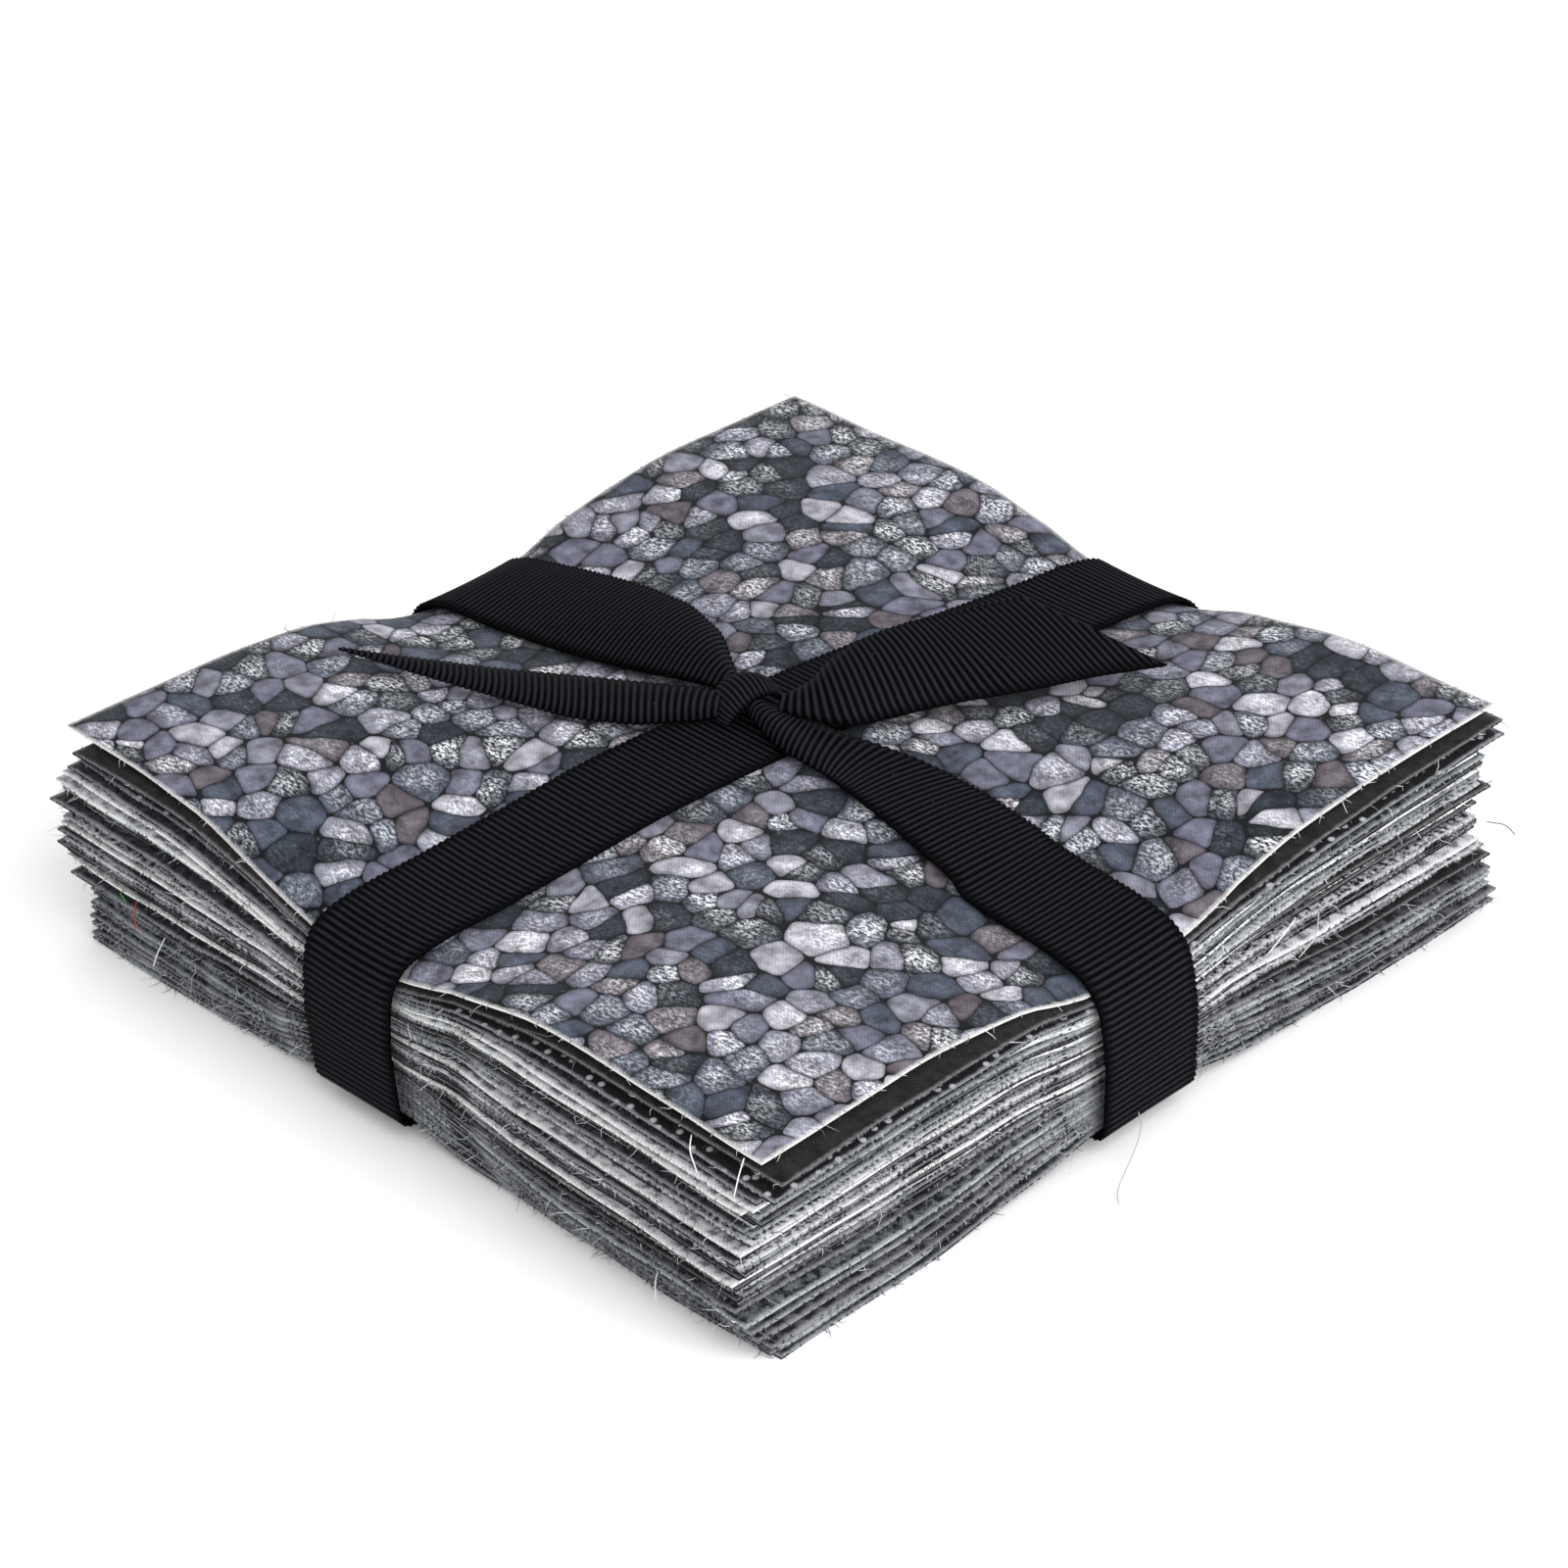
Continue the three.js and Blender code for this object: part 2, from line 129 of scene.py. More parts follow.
# %% Camera
AZIMUTH, ELEVATION, ROLL = (math.radians(a) for a in (47.68, 32.6, -3.25))
CAMERA_DISTANCE = 0.7
CAMERA_TARGET = Vector((-0.010, 0.0099, 0.012))
CAMERA_LENS = 123.66

level = math.cos(ELEVATION)
back = Vector((math.sin(AZIMUTH) * level, -math.cos(AZIMUTH) * level, math.sin(ELEVATION)))
right = Vector((math.cos(AZIMUTH), math.sin(AZIMUTH), 0))
up = back.cross(right)
rolled_right = right * math.cos(ROLL) + up * math.sin(ROLL)
rolled_up = up * math.cos(ROLL) - right * math.sin(ROLL)
camera = bpy.data.objects.new("camera", bpy.data.cameras.new("camera"))
camera.data.lens = CAMERA_LENS
turned = Matrix((rolled_right, rolled_up, back)).transposed().to_4x4()
camera.matrix_world = Matrix.Translation(CAMERA_TARGET + back * CAMERA_DISTANCE) @ turned
scene.collection.objects.link(camera)
scene.camera = camera
print("camera:", [round(x, 3) for x in camera.location])

# %% Floor
FLOOR_SIDE = 6.0  # m, so that its end is never in view
bm = bmesh.new()
bmesh.ops.create_grid(bm, x_segments=1, y_segments=1, size=FLOOR_SIDE / 2)
MATT = {"Roughness": 0.9, "Specular IOR Level": 0.1}
paper, _, _ = new_material("white paper sweep", {"Base Color": linear("#fafafa"), **MATT})
floor = add_object("floor", bm, paper)

# %% Light
scene.view_settings.view_transform = "Standard"
SKY_STRENGTH = 0.94
KEY_PLACE = Vector((1.2, -0.1, 0.85))
KEY_SIDE = 1.6
KEY_WATTS = 26.0

world = bpy.data.worlds.new("white room")
world.use_nodes = True
sky = world.node_tree.nodes["Background"]
sky.inputs["Color"].default_value = linear("#ffffff")
sky.inputs["Strength"].default_value = SKY_STRENGTH
scene.world = world
key = bpy.data.objects.new("key light", bpy.data.lights.new("key light", "AREA"))
key.data.size = KEY_SIDE
key.data.energy = KEY_WATTS
turned_in = KEY_PLACE.to_track_quat("Z", "Y").to_matrix().to_4x4()
key.matrix_world = Matrix.Translation(KEY_PLACE) @ turned_in
scene.collection.objects.link(key)

# %% [markdown]
# ## Measuring the leaves
#
# The leaves of the model carry the form of the stack: how each lies, how the ribbon pulls the sides in
# and how the corners fan out. A square of cloth is drawn on a grid, so each leaf is read on that grid
# once: where its four sides run, and how high its underside and its top are. Rays straight down and up
# give the heights, and a little smoothing takes the edges between the leaf's flats away.

# %% Read the leaves
LEAF_NAMES = sorted(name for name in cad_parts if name.startswith("squares"))
SQUARE = 127 * MM
HALF = SQUARE / 2
STEPS = 48  # cells along a side of a square's grid
SOFTENING = 5  # rounds of smoothing
PULLED_IN = (0.9985, 0.992, 0.98)  # a ray that misses at the rim is tried again a little further in
SAME_POINT = 0.001 * MM
FACES_OUT = 0.7  # a face belongs to a side if its normal points that way by this much
CLING = 0.6  # how far the leaf under the top square follows it up, in shares of the room between
# Each side with the axis it faces along, and which way
SIDES = {"left": (0, -1), "right": (0, 1), "near": (1, -1), "far": (1, 1)}

shares = np.linspace(-1, 1, STEPS + 1)
ACROSS, ALONG = np.meshgrid(shares, shares, indexing="ij")


def softened(field):
    """A height field with its creases rounded off."""
    for _ in range(SOFTENING):
        p = np.pad(field, 1, mode="reflect", reflect_type="odd")
        field = (p[:-2, 1:-1] + p[2:, 1:-1] + p[1:-1, :-2] + p[1:-1, 2:] + 4 * field) / 8
    return field


def side_lines(node):
    """For each side of a leaf, places along it and how far out its rim is there."""
    bm = bmesh.new()
    bm.from_mesh(node.data)
    bmesh.ops.remove_doubles(bm, verts=bm.verts, dist=SAME_POINT)
    bm.normal_update()
    lines = {}
    for name, (axis, sign) in SIDES.items():
        rim = {v for f in bm.faces if f.normal[axis] * sign > FACES_OUT for v in f.verts}
        lines[name] = np.array(sorted((v.co[1 - axis], v.co[axis]) for v in rim)).T
    bm.free()
    return lines


def search_tree(piece):
    """A search tree over a piece's own faces."""
    mesh = piece.data
    return BVHTree.FromPolygons([v.co for v in mesh.vertices], [p.vertices for p in mesh.polygons])


def heights(search, x, y, down):
    """The height that a ray straight down, or up, first meets at each place, tried off the very rim."""
    start, way = (1, -1) if down else (-1, 1)
    found = np.full_like(x, np.nan)
    for pull in PULLED_IN:
        for index in np.argwhere(np.isnan(found)):
            spot = tuple(index)
            at_x = x.mean() + (x[spot] - x.mean()) * pull
            at_y = y.mean() + (y[spot] - y.mean()) * pull
            hit = search.ray_cast(Vector((at_x, at_y, start)), Vector((0, 0, way)))[0]
            if hit:
                found[spot] = hit.z
    return found


def read_leaf(name):
    """A leaf on the grid of its squares: x and y, its underside and its top."""
    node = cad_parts[name]
    lines = side_lines(node)
    out = {}
    for side, (axis, _) in SIDES.items():
        out[side] = np.interp((ALONG if axis == 0 else ACROSS) * HALF, *lines[side])
    x = out["left"] * (1 - ACROSS) / 2 + out["right"] * (1 + ACROSS) / 2
    y = out["near"] * (1 - ALONG) / 2 + out["far"] * (1 + ALONG) / 2
    search = search_tree(node)
    bottom = softened(heights(search, x, y, down=False))
    top = softened(heights(search, x, y, down=True))
    return {"x": x, "y": y, "bottom": np.maximum(bottom, 0), "top": top}


leaves = [read_leaf(name) for name in LEAF_NAMES]
# The leaf under the top square follows it up into the room between them
hollow = leaves[-1]["bottom"] - leaves[-2]["top"]
leaves[-2]["top"] = leaves[-2]["top"] + CLING * hollow
leaves[-2]["bottom"] = leaves[-2]["bottom"] + CLING / 2 * hollow
for below, leaf in zip(leaves, leaves[1:]):
    leaf["room"] = np.maximum(leaf["bottom"] - below["top"], 0)
leaves[0]["room"] = leaves[0]["bottom"]
print("leaves:", len(leaves), "top in mm:", round(float(np.nanmax(leaves[-1]["top"])) / MM, 2))
print("unread places:", sum(int(np.isnan(leaf[k]).sum()) for leaf in leaves for k in ("bottom", "top")))

# %% [markdown]
# ## Printed cotton
#
# Quilting cotton is a plain weave of fine yarn, printed on one face and matt. Three things tell the eye
# that it is cloth: the crossing yarns, shade painted between them with a little light painted on their
# crossings, and cut edges where the pale cores of the yarns show. All are read from the square's own map,
# which is 0 to 1 over the square, so they stay with the cloth.

# %% Weave and frayed rim, shared by all the cottons
YARN = 0.3  # mm between yarns
YARN_RELIEF = 0.1 * MM
FRAY_WIDTH = 0.7  # mm of pale yarn ends along a cut edge
COTTON = {"Roughness": 0.92, "Specular IOR Level": 0.08, "Sheen Weight": 0.05, "Sheen Roughness": 0.6}


def cloth_places(tree):
    """The square's own map from 0 to 1, and the same places in mm."""
    uv = add_node(tree, "UVMap")
    size = (SQUARE / MM, SQUARE / MM, 0)
    return uv, add_node(tree, "VectorMath", {0: uv, 1: size}, operation="MULTIPLY")


def cloth_base(tree):
    """Places on the square in mm, the weave's height from 0 to 1, and how frayed a place is."""
    uv, place = cloth_places(tree)
    # Warp and weft are two waves, and their product is up where one yarn lies over the other
    turns = add_node(tree, "VectorMath", {0: place, "Scale": 2 * math.pi / (2 * YARN)}, operation="SCALE")
    waves = add_node(tree, "VectorMath", {0: turns}, operation="SINE")
    wave = add_node(tree, "SeparateXYZ", {0: waves})
    crossing = add_node(tree, "Math", {0: wave.outputs[0], 1: wave.outputs[1]}, operation="MULTIPLY")
    weave = add_node(tree, "MapRange", {0: crossing, 1: -1.0, 2: 1.0})

    # The rim frays where the distance from the middle is largest, with a ragged inner border
    middle = add_node(tree, "VectorMath", {0: uv, 1: (0.5, 0.5, 0)}, operation="SUBTRACT")
    reach = add_node(tree, "VectorMath", {0: middle}, operation="ABSOLUTE")
    reaches = add_node(tree, "SeparateXYZ", {0: reach})
    far = add_node(tree, "Math", {0: reaches.outputs[0], 1: reaches.outputs[1]}, operation="MAXIMUM")
    ragged = add_node(tree, "TexNoise", {"Vector": place, "Scale": 0.9, "Detail": 3.0})
    inner_border = 0.5 - FRAY_WIDTH * MM / SQUARE
    edge = add_node(tree, "MapRange", {0: far, 1: inner_border, 2: 0.5, 3: -0.62, 4: 0.45})
    frayed = add_node(tree, "Math", {0: edge, 1: ragged}, operation="ADD", use_clamp=True)
    return place, weave, frayed


def finish_cloth(tree, shader, colour, weave, frayed, pale, bump):
    """Puts the pale rim over a cotton's colour, paints shade between the yarns and a little light on
    their crossings, and gives it relief.
    """
    rimmed = add_node(
        tree, "Mix", {"Factor": frayed, "A": colour, "B": linear(pale)}, data_type="RGBA"
    ).outputs["Result"]
    # Painted shade between the yarns and painted light on their crossings: the colour is scaled by the
    # weave's height
    painted_weave_shade = add_node(tree, "MapRange", {0: weave, 1: 0.0, 2: 1.0, 3: 0.86, 4: 1.08})
    woven = add_node(tree, "VectorMath", {0: rimmed, "Scale": painted_weave_shade}, operation="SCALE")
    relief = add_node(tree, "Bump", {"Height": weave, "Strength": bump, "Distance": YARN_RELIEF})
    feed(tree, shader, {"Base Color": woven, "Normal": relief})


# %% [markdown]
# ### The top square's pebble print
#
# The top square has an all-over print of rounded stones, about 5 mm across, in charcoal, slate and
# lavender grey, each with a thin dark outline and many of them speckled with off-white. A Voronoi texture
# is the natural tool: its cells are the stones, and its random colour decides which stone is which. A
# second, smooth Voronoi of the same cells differs from it only near their edges, and so draws rounded
# outlines and shading. Noise bends the cells first, so that no stone is a plain polygon.

# %% Pebble print
STONE_SIZE = 4.6  # mm across a stone
BEND = 5.0  # mm that the stones are bent by, from one end of the noise to the other
ROUNDING = 0.32  # how far a stone's corners are rounded off, in stones
STONE_COLOURS = [
    (0.00, "#1c222a"),
    (0.26, "#343a46"),
    (0.48, "#525261"),
    (0.64, "#4a444a"),
    (0.78, "#646470"),
    (0.92, "#84838c"),
]
FLECK = "#d8d9dd"
OUTLINE = "#080b10"


def pebble_cotton():
    """Plain-weave cotton printed with stones: matt, with ink lines and flecks that follow the yarn."""
    material, tree, shader = new_material("pebble printed cotton", COTTON)
    place, weave, frayed = cloth_base(tree)
    # The stones, bent by a slow noise
    bend = add_node(tree, "TexNoise", {"Vector": place, "Scale": 0.09, "Detail": 2.0})
    centred = add_node(
        tree, "VectorMath", {0: bend.outputs["Color"], 1: (0.5, 0.5, 0.5)}, operation="SUBTRACT"
    )
    bent = add_node(
        tree, "VectorMath", {0: centred, 1: (BEND, BEND, 0.0), 2: place}, operation="MULTIPLY_ADD"
    )
    cells = {"Vector": bent, "Scale": 1 / STONE_SIZE, "Randomness": 0.92}
    stone = add_node(tree, "TexVoronoi", cells, voronoi_dimensions="2D")
    merged = add_node(
        tree,
        "TexVoronoi",
        {**cells, "Smoothness": 2 * ROUNDING},
        voronoi_dimensions="2D",
        feature="SMOOTH_F1",
    ).outputs["Distance"]
    rim = add_node(tree, "Math", {0: stone.outputs["Distance"], 1: merged}, operation="SUBTRACT")
    chance = add_node(tree, "SeparateColor", {0: stone.outputs["Color"]})

    kinds = add_node(tree, "ValToRGB", {"Fac": chance.outputs[0]})
    kinds.color_ramp.interpolation = "CONSTANT"
    while len(kinds.color_ramp.elements) < len(STONE_COLOURS):
        kinds.color_ramp.elements.new(0.5)
    for element, (start, colour) in zip(kinds.color_ramp.elements, STONE_COLOURS):
        element.position = start
        element.color = linear(colour)

    # Off-white flecks, longer one way than the other, in some of the stones and fewer at their rims
    flecked = add_node(tree, "VectorMath", {0: place, 1: (1.2, 2.2, 0)}, operation="MULTIPLY")
    grain = add_node(tree, "TexNoise", {"Vector": flecked, "Scale": 1.1, "Detail": 3.0, "Roughness": 0.7})
    fleck = add_node(tree, "MapRange", {0: grain, 1: 0.45, 2: 0.62})
    speckled = add_node(tree, "MapRange", {0: chance.outputs[1], 1: 0.3, 2: 1.0, 3: 0.04, 4: 1.0})
    amount = add_node(tree, "Math", {0: fleck, 1: speckled}, operation="MULTIPLY")
    inner = add_node(tree, "MapRange", {0: stone.outputs["Distance"], 1: 0.25, 2: 0.6, 3: 1.0, 4: 0.25})
    amount = add_node(tree, "Math", {0: amount, 1: inner}, operation="MULTIPLY")
    colour = add_node(
        tree, "Mix", {"Factor": amount, "A": kinds.outputs[0], "B": linear(FLECK)}, data_type="RGBA"
    ).outputs["Result"]

    # Cloudy ink, and a lighter crown on each stone
    cloud = add_node(tree, "TexNoise", {"Vector": place, "Scale": 0.4, "Detail": 2.0})
    patch = add_node(tree, "MapRange", {0: cloud, 1: 0.3, 2: 0.7, 3: 0.48, 4: 1.5})
    crown = add_node(tree, "MapRange", {0: rim, 1: 0.22 * ROUNDING, 2: 0.0, 3: 0.58, 4: 1.36})
    light = add_node(tree, "Math", {0: patch, 1: crown}, operation="MULTIPLY")
    shaded = add_node(tree, "VectorMath", {0: colour, "Scale": light}, operation="SCALE")

    # The outline, with a narrow soft border
    ink = add_node(tree, "MapRange", {0: rim, 1: 0.21 * ROUNDING, 2: 0.24 * ROUNDING})
    printed = add_node(
        tree, "Mix", {"Factor": ink, "A": shaded, "B": linear(OUTLINE)}, data_type="RGBA"
    ).outputs["Result"]
    finish_cloth(tree, shader, printed, weave, frayed, "#c2c0c0", 0.4)
    return material


pebble = pebble_cotton()
print("made", pebble.name)

# %% [markdown]
# ### The other squares
#
# Only the edges of the other squares show, so each cotton there is a ground with one kind of figure:
# clouds, specks or dots. Their cut edges are a material of their own. Seen end on, the yarns are pale
# beads on a dark line, in runs where the cut is clean and runs where it has frayed.

# %% Tonal cottons and cut edges
COTTONS = {
    # Letter: name, ground, figure, its size in mm and share, the cut edge's pale tone and share, slot
    "d": ("black brown cotton", "#131212", "#211f1e", 2.0, 0.5, "#6d6e72", 0.2, "dark_cotton"),
    "c": ("charcoal cotton", "#151619", "#34363b", 1.2, 0.45, "#8b8d92", 0.4, "dark_cotton"),
    "g": ("slate cloud cotton", "#17191c", "#4c5056", 2.2, 0.45, "#8b8e93", 0.45, "grey_cotton"),
    "l": ("lilac grey cotton", "#19181c", "#4d4c53", 1.6, 0.45, "#7e7e84", 0.45, "grey_cotton"),
    "t": ("teal grey cotton", "#15181a", "#5c6266", 1.4, 0.45, "#9ea2a5", 0.55, "grey_cotton"),
    "s": ("speckled cotton", "#151619", "#b4b5b9", 0.8, 0.42, "#bcbdc0", 0.5, "grey_cotton"),
    "w": ("pale grey cotton", "#5f6268", "#b4b5b9", 1.5, 0.5, "#d9dada", 0.7, "pale_cotton"),
    "o": ("dotted cotton", "#121214", "#a9a9ae", 2.6, 0.0, "#8e9095", 0.3, "dark_cotton"),
}
CUT_DARK = "#0e0f11"


def tonal_cotton(name, ground, figure, size, share, pale):
    """Plain-weave cotton with a blended figure, or with dots where there is no share: matt and soft."""
    material, tree, shader = new_material(name, COTTON)
    place, weave, frayed = cloth_base(tree)
    if share:
        figured = add_node(
            tree, "TexNoise", {"Vector": place, "Scale": 1 / size, "Detail": 3.0, "Roughness": 0.6}
        )
        start = 0.75 - share / 2  # the noise passes this mark more often the larger the share
        bars = {1: start - 0.1, 2: start + 0.06}
    else:
        figured = add_node(
            tree,
            "TexVoronoi",
            {"Vector": place, "Scale": 1 / size, "Randomness": 0.8},
            voronoi_dimensions="2D",
        ).outputs["Distance"]
        bars = {1: 0.1, 2: 0.2, 3: 1.0, 4: 0.0}
    amount = add_node(tree, "MapRange", {0: figured, **bars})
    colour = add_node(
        tree, "Mix", {"Factor": amount, "A": linear(ground), "B": linear(figure)}, data_type="RGBA"
    ).outputs["Result"]
    finish_cloth(tree, shader, colour, weave, frayed, pale, 0.6)
    return material


def cut_edge(name, pale, share):
    """The cut through a woven cotton: yarn ends in a row, pale at the core and dark with ink between."""
    material, tree, shader = new_material(name, {"Roughness": 0.95, "Specular IOR Level": 0.1})
    _, place = cloth_places(tree)
    # Yarn ends are 0.3 mm apart, which is too fine to show, so they are drawn at twice that
    beads = add_node(tree, "TexNoise", {"Vector": place, "Scale": 1.6, "Detail": 2.0})
    runs = add_node(tree, "TexNoise", {"Vector": place, "Scale": 0.14, "Detail": 1.0})
    both = add_node(tree, "Math", {0: beads, 1: runs}, operation="ADD")
    bar = 1.3 - 0.6 * share  # lower, and passed more often, the larger the pale share
    amount = add_node(tree, "MapRange", {0: both, 1: bar - 0.12, 2: bar + 0.12})
    colour = add_node(
        tree, "Mix", {"Factor": amount, "A": linear(CUT_DARK), "B": linear(pale)}, data_type="RGBA"
    ).outputs["Result"]
    feed(tree, shader, {"Base Color": colour})
    return material


cottons = {}
for letter, (name, ground, figure, size, share, pale, pale_share, slot) in COTTONS.items():
    cloth = tonal_cotton(name, ground, figure, size, share, pale)
    edge = cut_edge(name + " cut edge", pale, pale_share)
    cottons[letter] = (cloth, edge, slot)
cottons["p"] = (pebble, cut_edge("pebble cotton cut edge", "#dddcdb", 0.85), "stone_print_cotton")
print("cottons:", len(cottons))

# %% [markdown]
# ## The squares
#
# The squares are cut with a blade from flat cloth and stacked by hand. Each starts as a flat grid with
# its own map. Its points are set on its leaf, three squares to a leaf in most of the stack, and then
# disturbed a little as cloth is: no square lies exactly over the next, the lower ones of a leaf sag into
# the room below, and cut edges wander. Where the ribbon goes round, it presses the rims down and holds
# them from sagging. Rays then find the square below, and each point is lifted clear of it, as cloth lies
# on cloth. Last, the grid is given the cloth's thickness, and the new faces round its rim get the
# cut-edge finish.

# %% Place the squares
CLOTH_THICK = 0.29 * MM
PER_LEAF = [3] * 13 + [2, 1]
# One letter for each square, from the table up
PRINT_ORDER = "cgt" "glg" "ltg" "glt" "lgd" "csd" "wdc" "dcs" "cdw" "dst" "cwd" "dtw" "wtc" "od" "p"
SHIFT = 0.65 * MM  # the most that a square lies aside
TURN_BY = 0.006  # and the most that it is turned, in radians
LOOSE_RIM = (0.72, 0.28)  # where a square gets loose towards its rim, and over how far, in half sides
OFF_MIDDLE = (0.12, 0.3)  # it is loose off the middles of its sides only, which the ribbon holds
WANDER = 0.38 * MM  # how far a cut edge strays
WANDER_WAVES, RIPPLE_WAVES = 5, 3.2  # waves of the noise to a half side
# Squares that stick out at a corner: number, x and y there in half sides, and by how much in mm
STICK_OUT = [
    (41, 1, -1, 0.0, 0.7),
    (40, 1, -1, 0.2, -0.3),
    (40, -1, -1, 0.4, 0.4),
    (39, 1, -1, 0.0, -1.6),
    (37, 1, -1, 0.4, -1.1),
    (34, 1, -1, 1.2, -0.4),
    (31, -1, -1, -0.8, -1.2),
    (28, 1, 1, 1.3, 0.5),
    (25, 1, -1, 0.6, -1.4),
    (22, -1, -1, -1.0, -0.6),
    (19, 1, 1, 1.0, -0.3),
    (16, -1, -1, -0.2, -1.3),
    (12, 1, -1, 1.2, -0.9),
    (7, 1, 1, 0.9, 0.6),
]
CORNER_FADE = 0.5  # how fast that fades with the distance from the corner, in half sides
GAPE_UNDER = 6  # the left corner gapes under this leaf
GAPE = 0.85  # the share of the room in the leaves below it that has closed up there
GAPE_FADE = 0.55  # and how fast that fades
RIPPLE = 0.16 * MM  # height of the ripples along a rim
FREE_ROOM = 0.6 * MM  # room below that lets a rim ripple fully
SAG, SAG_LESS = 0.9, 0.45  # the most of the room that a leaf's lowest square sags, less for those above
KEPT_ROOM = 0.2 * MM  # room that stays below a sagging square
TOP_RAISE = 0.45 * MM  # the upper squares of the two thinnest leaves lie higher by this
WIDTH = 16 * MM  # of the ribbon
EDGE_STRIP = (0.86, 0.14)  # where the ribbon presses the rims down, and over how far, in half sides
PRESS = 0.07  # by this share of their height
HELD_BESIDE = 0.6 * WIDTH  # how far beside the ribbon the rims are still held
LOWEST = CLOTH_THICK * 1.05  # the lowest top that a square can have on the table
STACKED = 0.37 * MM  # the least that the top of one square lies above the top of the one below
PULLS = (1.0, 0.985, 0.97)  # a square that sticks out past the one below lies on that one's rim
RIM_SLOPE = 0.5  # faces steeper than this are the cut rim
# Where the middle of each band of ribbon crosses the two edges of the squares, in mm
LONG_EDGES = (-7.6, 4.6)
CROSS_EDGES = (2.7, -2.3)
rng = np.random.default_rng(5)


def ramp(value, start, over):
    """0 up to the start, and from there up to 1."""
    return np.clip((value - start) / over, 0, 1)


def off_ribbon(x, y):
    """How far a place is outside the ribbon that goes over that side, or below 0 under it."""
    if abs(x) > abs(y):
        return abs(y - CROSS_EDGES[int(x > 0)] * MM) - WIDTH / 2
    return abs(x - LONG_EDGES[int(y > 0)] * MM) - WIDTH / 2


def square_bmesh(number, leaf, level, count, under):
    """One square as a thick sheet on its leaf, and the lines of its four edges."""
    bm = bmesh.new()
    bm.loops.layers.uv.new("UVMap")
    bmesh.ops.create_grid(bm, x_segments=STEPS, y_segments=STEPS, size=1, calc_uvs=True)
    shift = rng.uniform(-SHIFT, SHIFT, 2)
    sag = rng.uniform(0.0, SAG - SAG_LESS * level) if level < count - 1 else 0.0
    raised = TOP_RAISE if count < 3 and level == count - 1 else 0.0
    turn = rng.uniform(-TURN_BY, TURN_BY)
    out_at = [(cx, cy, Vector((dx, dy, 0)) * MM) for n, cx, cy, dx, dy in STICK_OUT if n == number]
    for vert in bm.verts:
        u, v = vert.co.x, vert.co.y
        spot = tuple(int(round((share + 1) / 2 * STEPS)) for share in (u, v))
        outermost, innermost = max(abs(u), abs(v)), min(abs(u), abs(v))
        near_rim = ramp(outermost, *LOOSE_RIM) ** 2
        loose = near_rim * ramp(innermost, *OFF_MIDDLE)
        layers = [number * 7.3, number * 7.3 + 330]  # of the noise, one for each direction
        wander = [noise.noise(Vector((u * WANDER_WAVES, v * WANDER_WAVES, layer))) for layer in layers]
        ripple = noise.noise(Vector((u * RIPPLE_WAVES, v * RIPPLE_WAVES, number * 3.1 + 50)))
        bottom, top, room = (leaf[k][spot] for k in ("bottom", "top", "room"))
        height = bottom + (top - bottom) * (level + 0.5) / count
        x, y = leaf["x"][spot], leaf["y"][spot]
        held = np.clip(1 - off_ribbon(x, y) / HELD_BESIDE, 0, 1)
        if leaf["closed"] is not None:
            shut = GAPE * np.clip(1 - GAPE_FADE * math.hypot(u + 1, v + 1), 0, 1) * (1 - held)
            height -= shut * leaf["closed"][spot]
            room *= 1 - shut
        free = min(room / FREE_ROOM, 1.0)
        height *= 1 - PRESS * ramp(outermost, *EDGE_STRIP) ** 2 * held
        height += raised + RIPPLE * ripple * near_rim * free
        height -= sag * max(room - KEPT_ROOM, 0) * near_rim * (1 - held)
        moved_x = x + (shift[0] - turn * y) * loose + WANDER * wander[0] * near_rim
        moved_y = y + (shift[1] + turn * x) * loose + WANDER * wander[1] * near_rim
        vert.co = Vector((moved_x, moved_y, max(height, LOWEST)))
        for cx, cy, move in out_at:
            vert.co += move * loose * max(0.0, 1 - CORNER_FADE * math.hypot(u - cx, v - cy))
    if under is not None:
        for vert in bm.verts:
            for pull in PULLS:
                start = Vector((vert.co.x * pull, vert.co.y * pull, 1))
                met = under.ray_cast(start, Vector((0, 0, -1)))[0]
                if met is not None:
                    vert.co.z = max(vert.co.z, met.z + STACKED)
                    break
    bm.verts.ensure_lookup_table()
    grid = np.array([v.co for v in bm.verts]).reshape(STEPS + 1, STEPS + 1, 3)
    edge_lines = {"near": grid[0], "far": grid[-1], "left": grid[:, 0], "right": grid[:, -1]}
    bmesh.ops.recalc_face_normals(bm, faces=bm.faces)
    if sum(f.normal.z for f in bm.faces) < 0:
        bmesh.ops.reverse_faces(bm, faces=bm.faces)
    bmesh.ops.solidify(bm, geom=bm.faces[:], thickness=CLOTH_THICK)
    for face in bm.faces:
        face.smooth = True
        if abs(face.normal.z) < RIM_SLOPE:
            face.material_index = 1
            face.smooth = False
    return bm, edge_lines


# How far the lower leaves come down where the room below them closes up
room_below = np.zeros_like(ACROSS)
for leaf_number, leaf in enumerate(leaves):
    room_below = room_below + leaf["room"]
    leaf["closed"] = room_below if leaf_number < GAPE_UNDER - 1 else None
squares = []
rims = []
for leaf_number, count in enumerate(PER_LEAF):
    for level in range(count):
        number = len(squares) + 1
        cloth, edge, slot = cottons[PRINT_ORDER[number - 1]]
        under = search_tree(squares[-1]) if squares else None
        bm, edge_lines = square_bmesh(number, leaves[leaf_number], level, count, under)
        rims.append(edge_lines)
        square = add_object(f"square_{number:02d}", bm, cloth, edge)
        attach(square, "root")
        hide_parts(LEAF_NAMES[leaf_number])
        squares.append(square)
print("squares:", len(squares), "faces each:", len(squares[0].data.polygons))

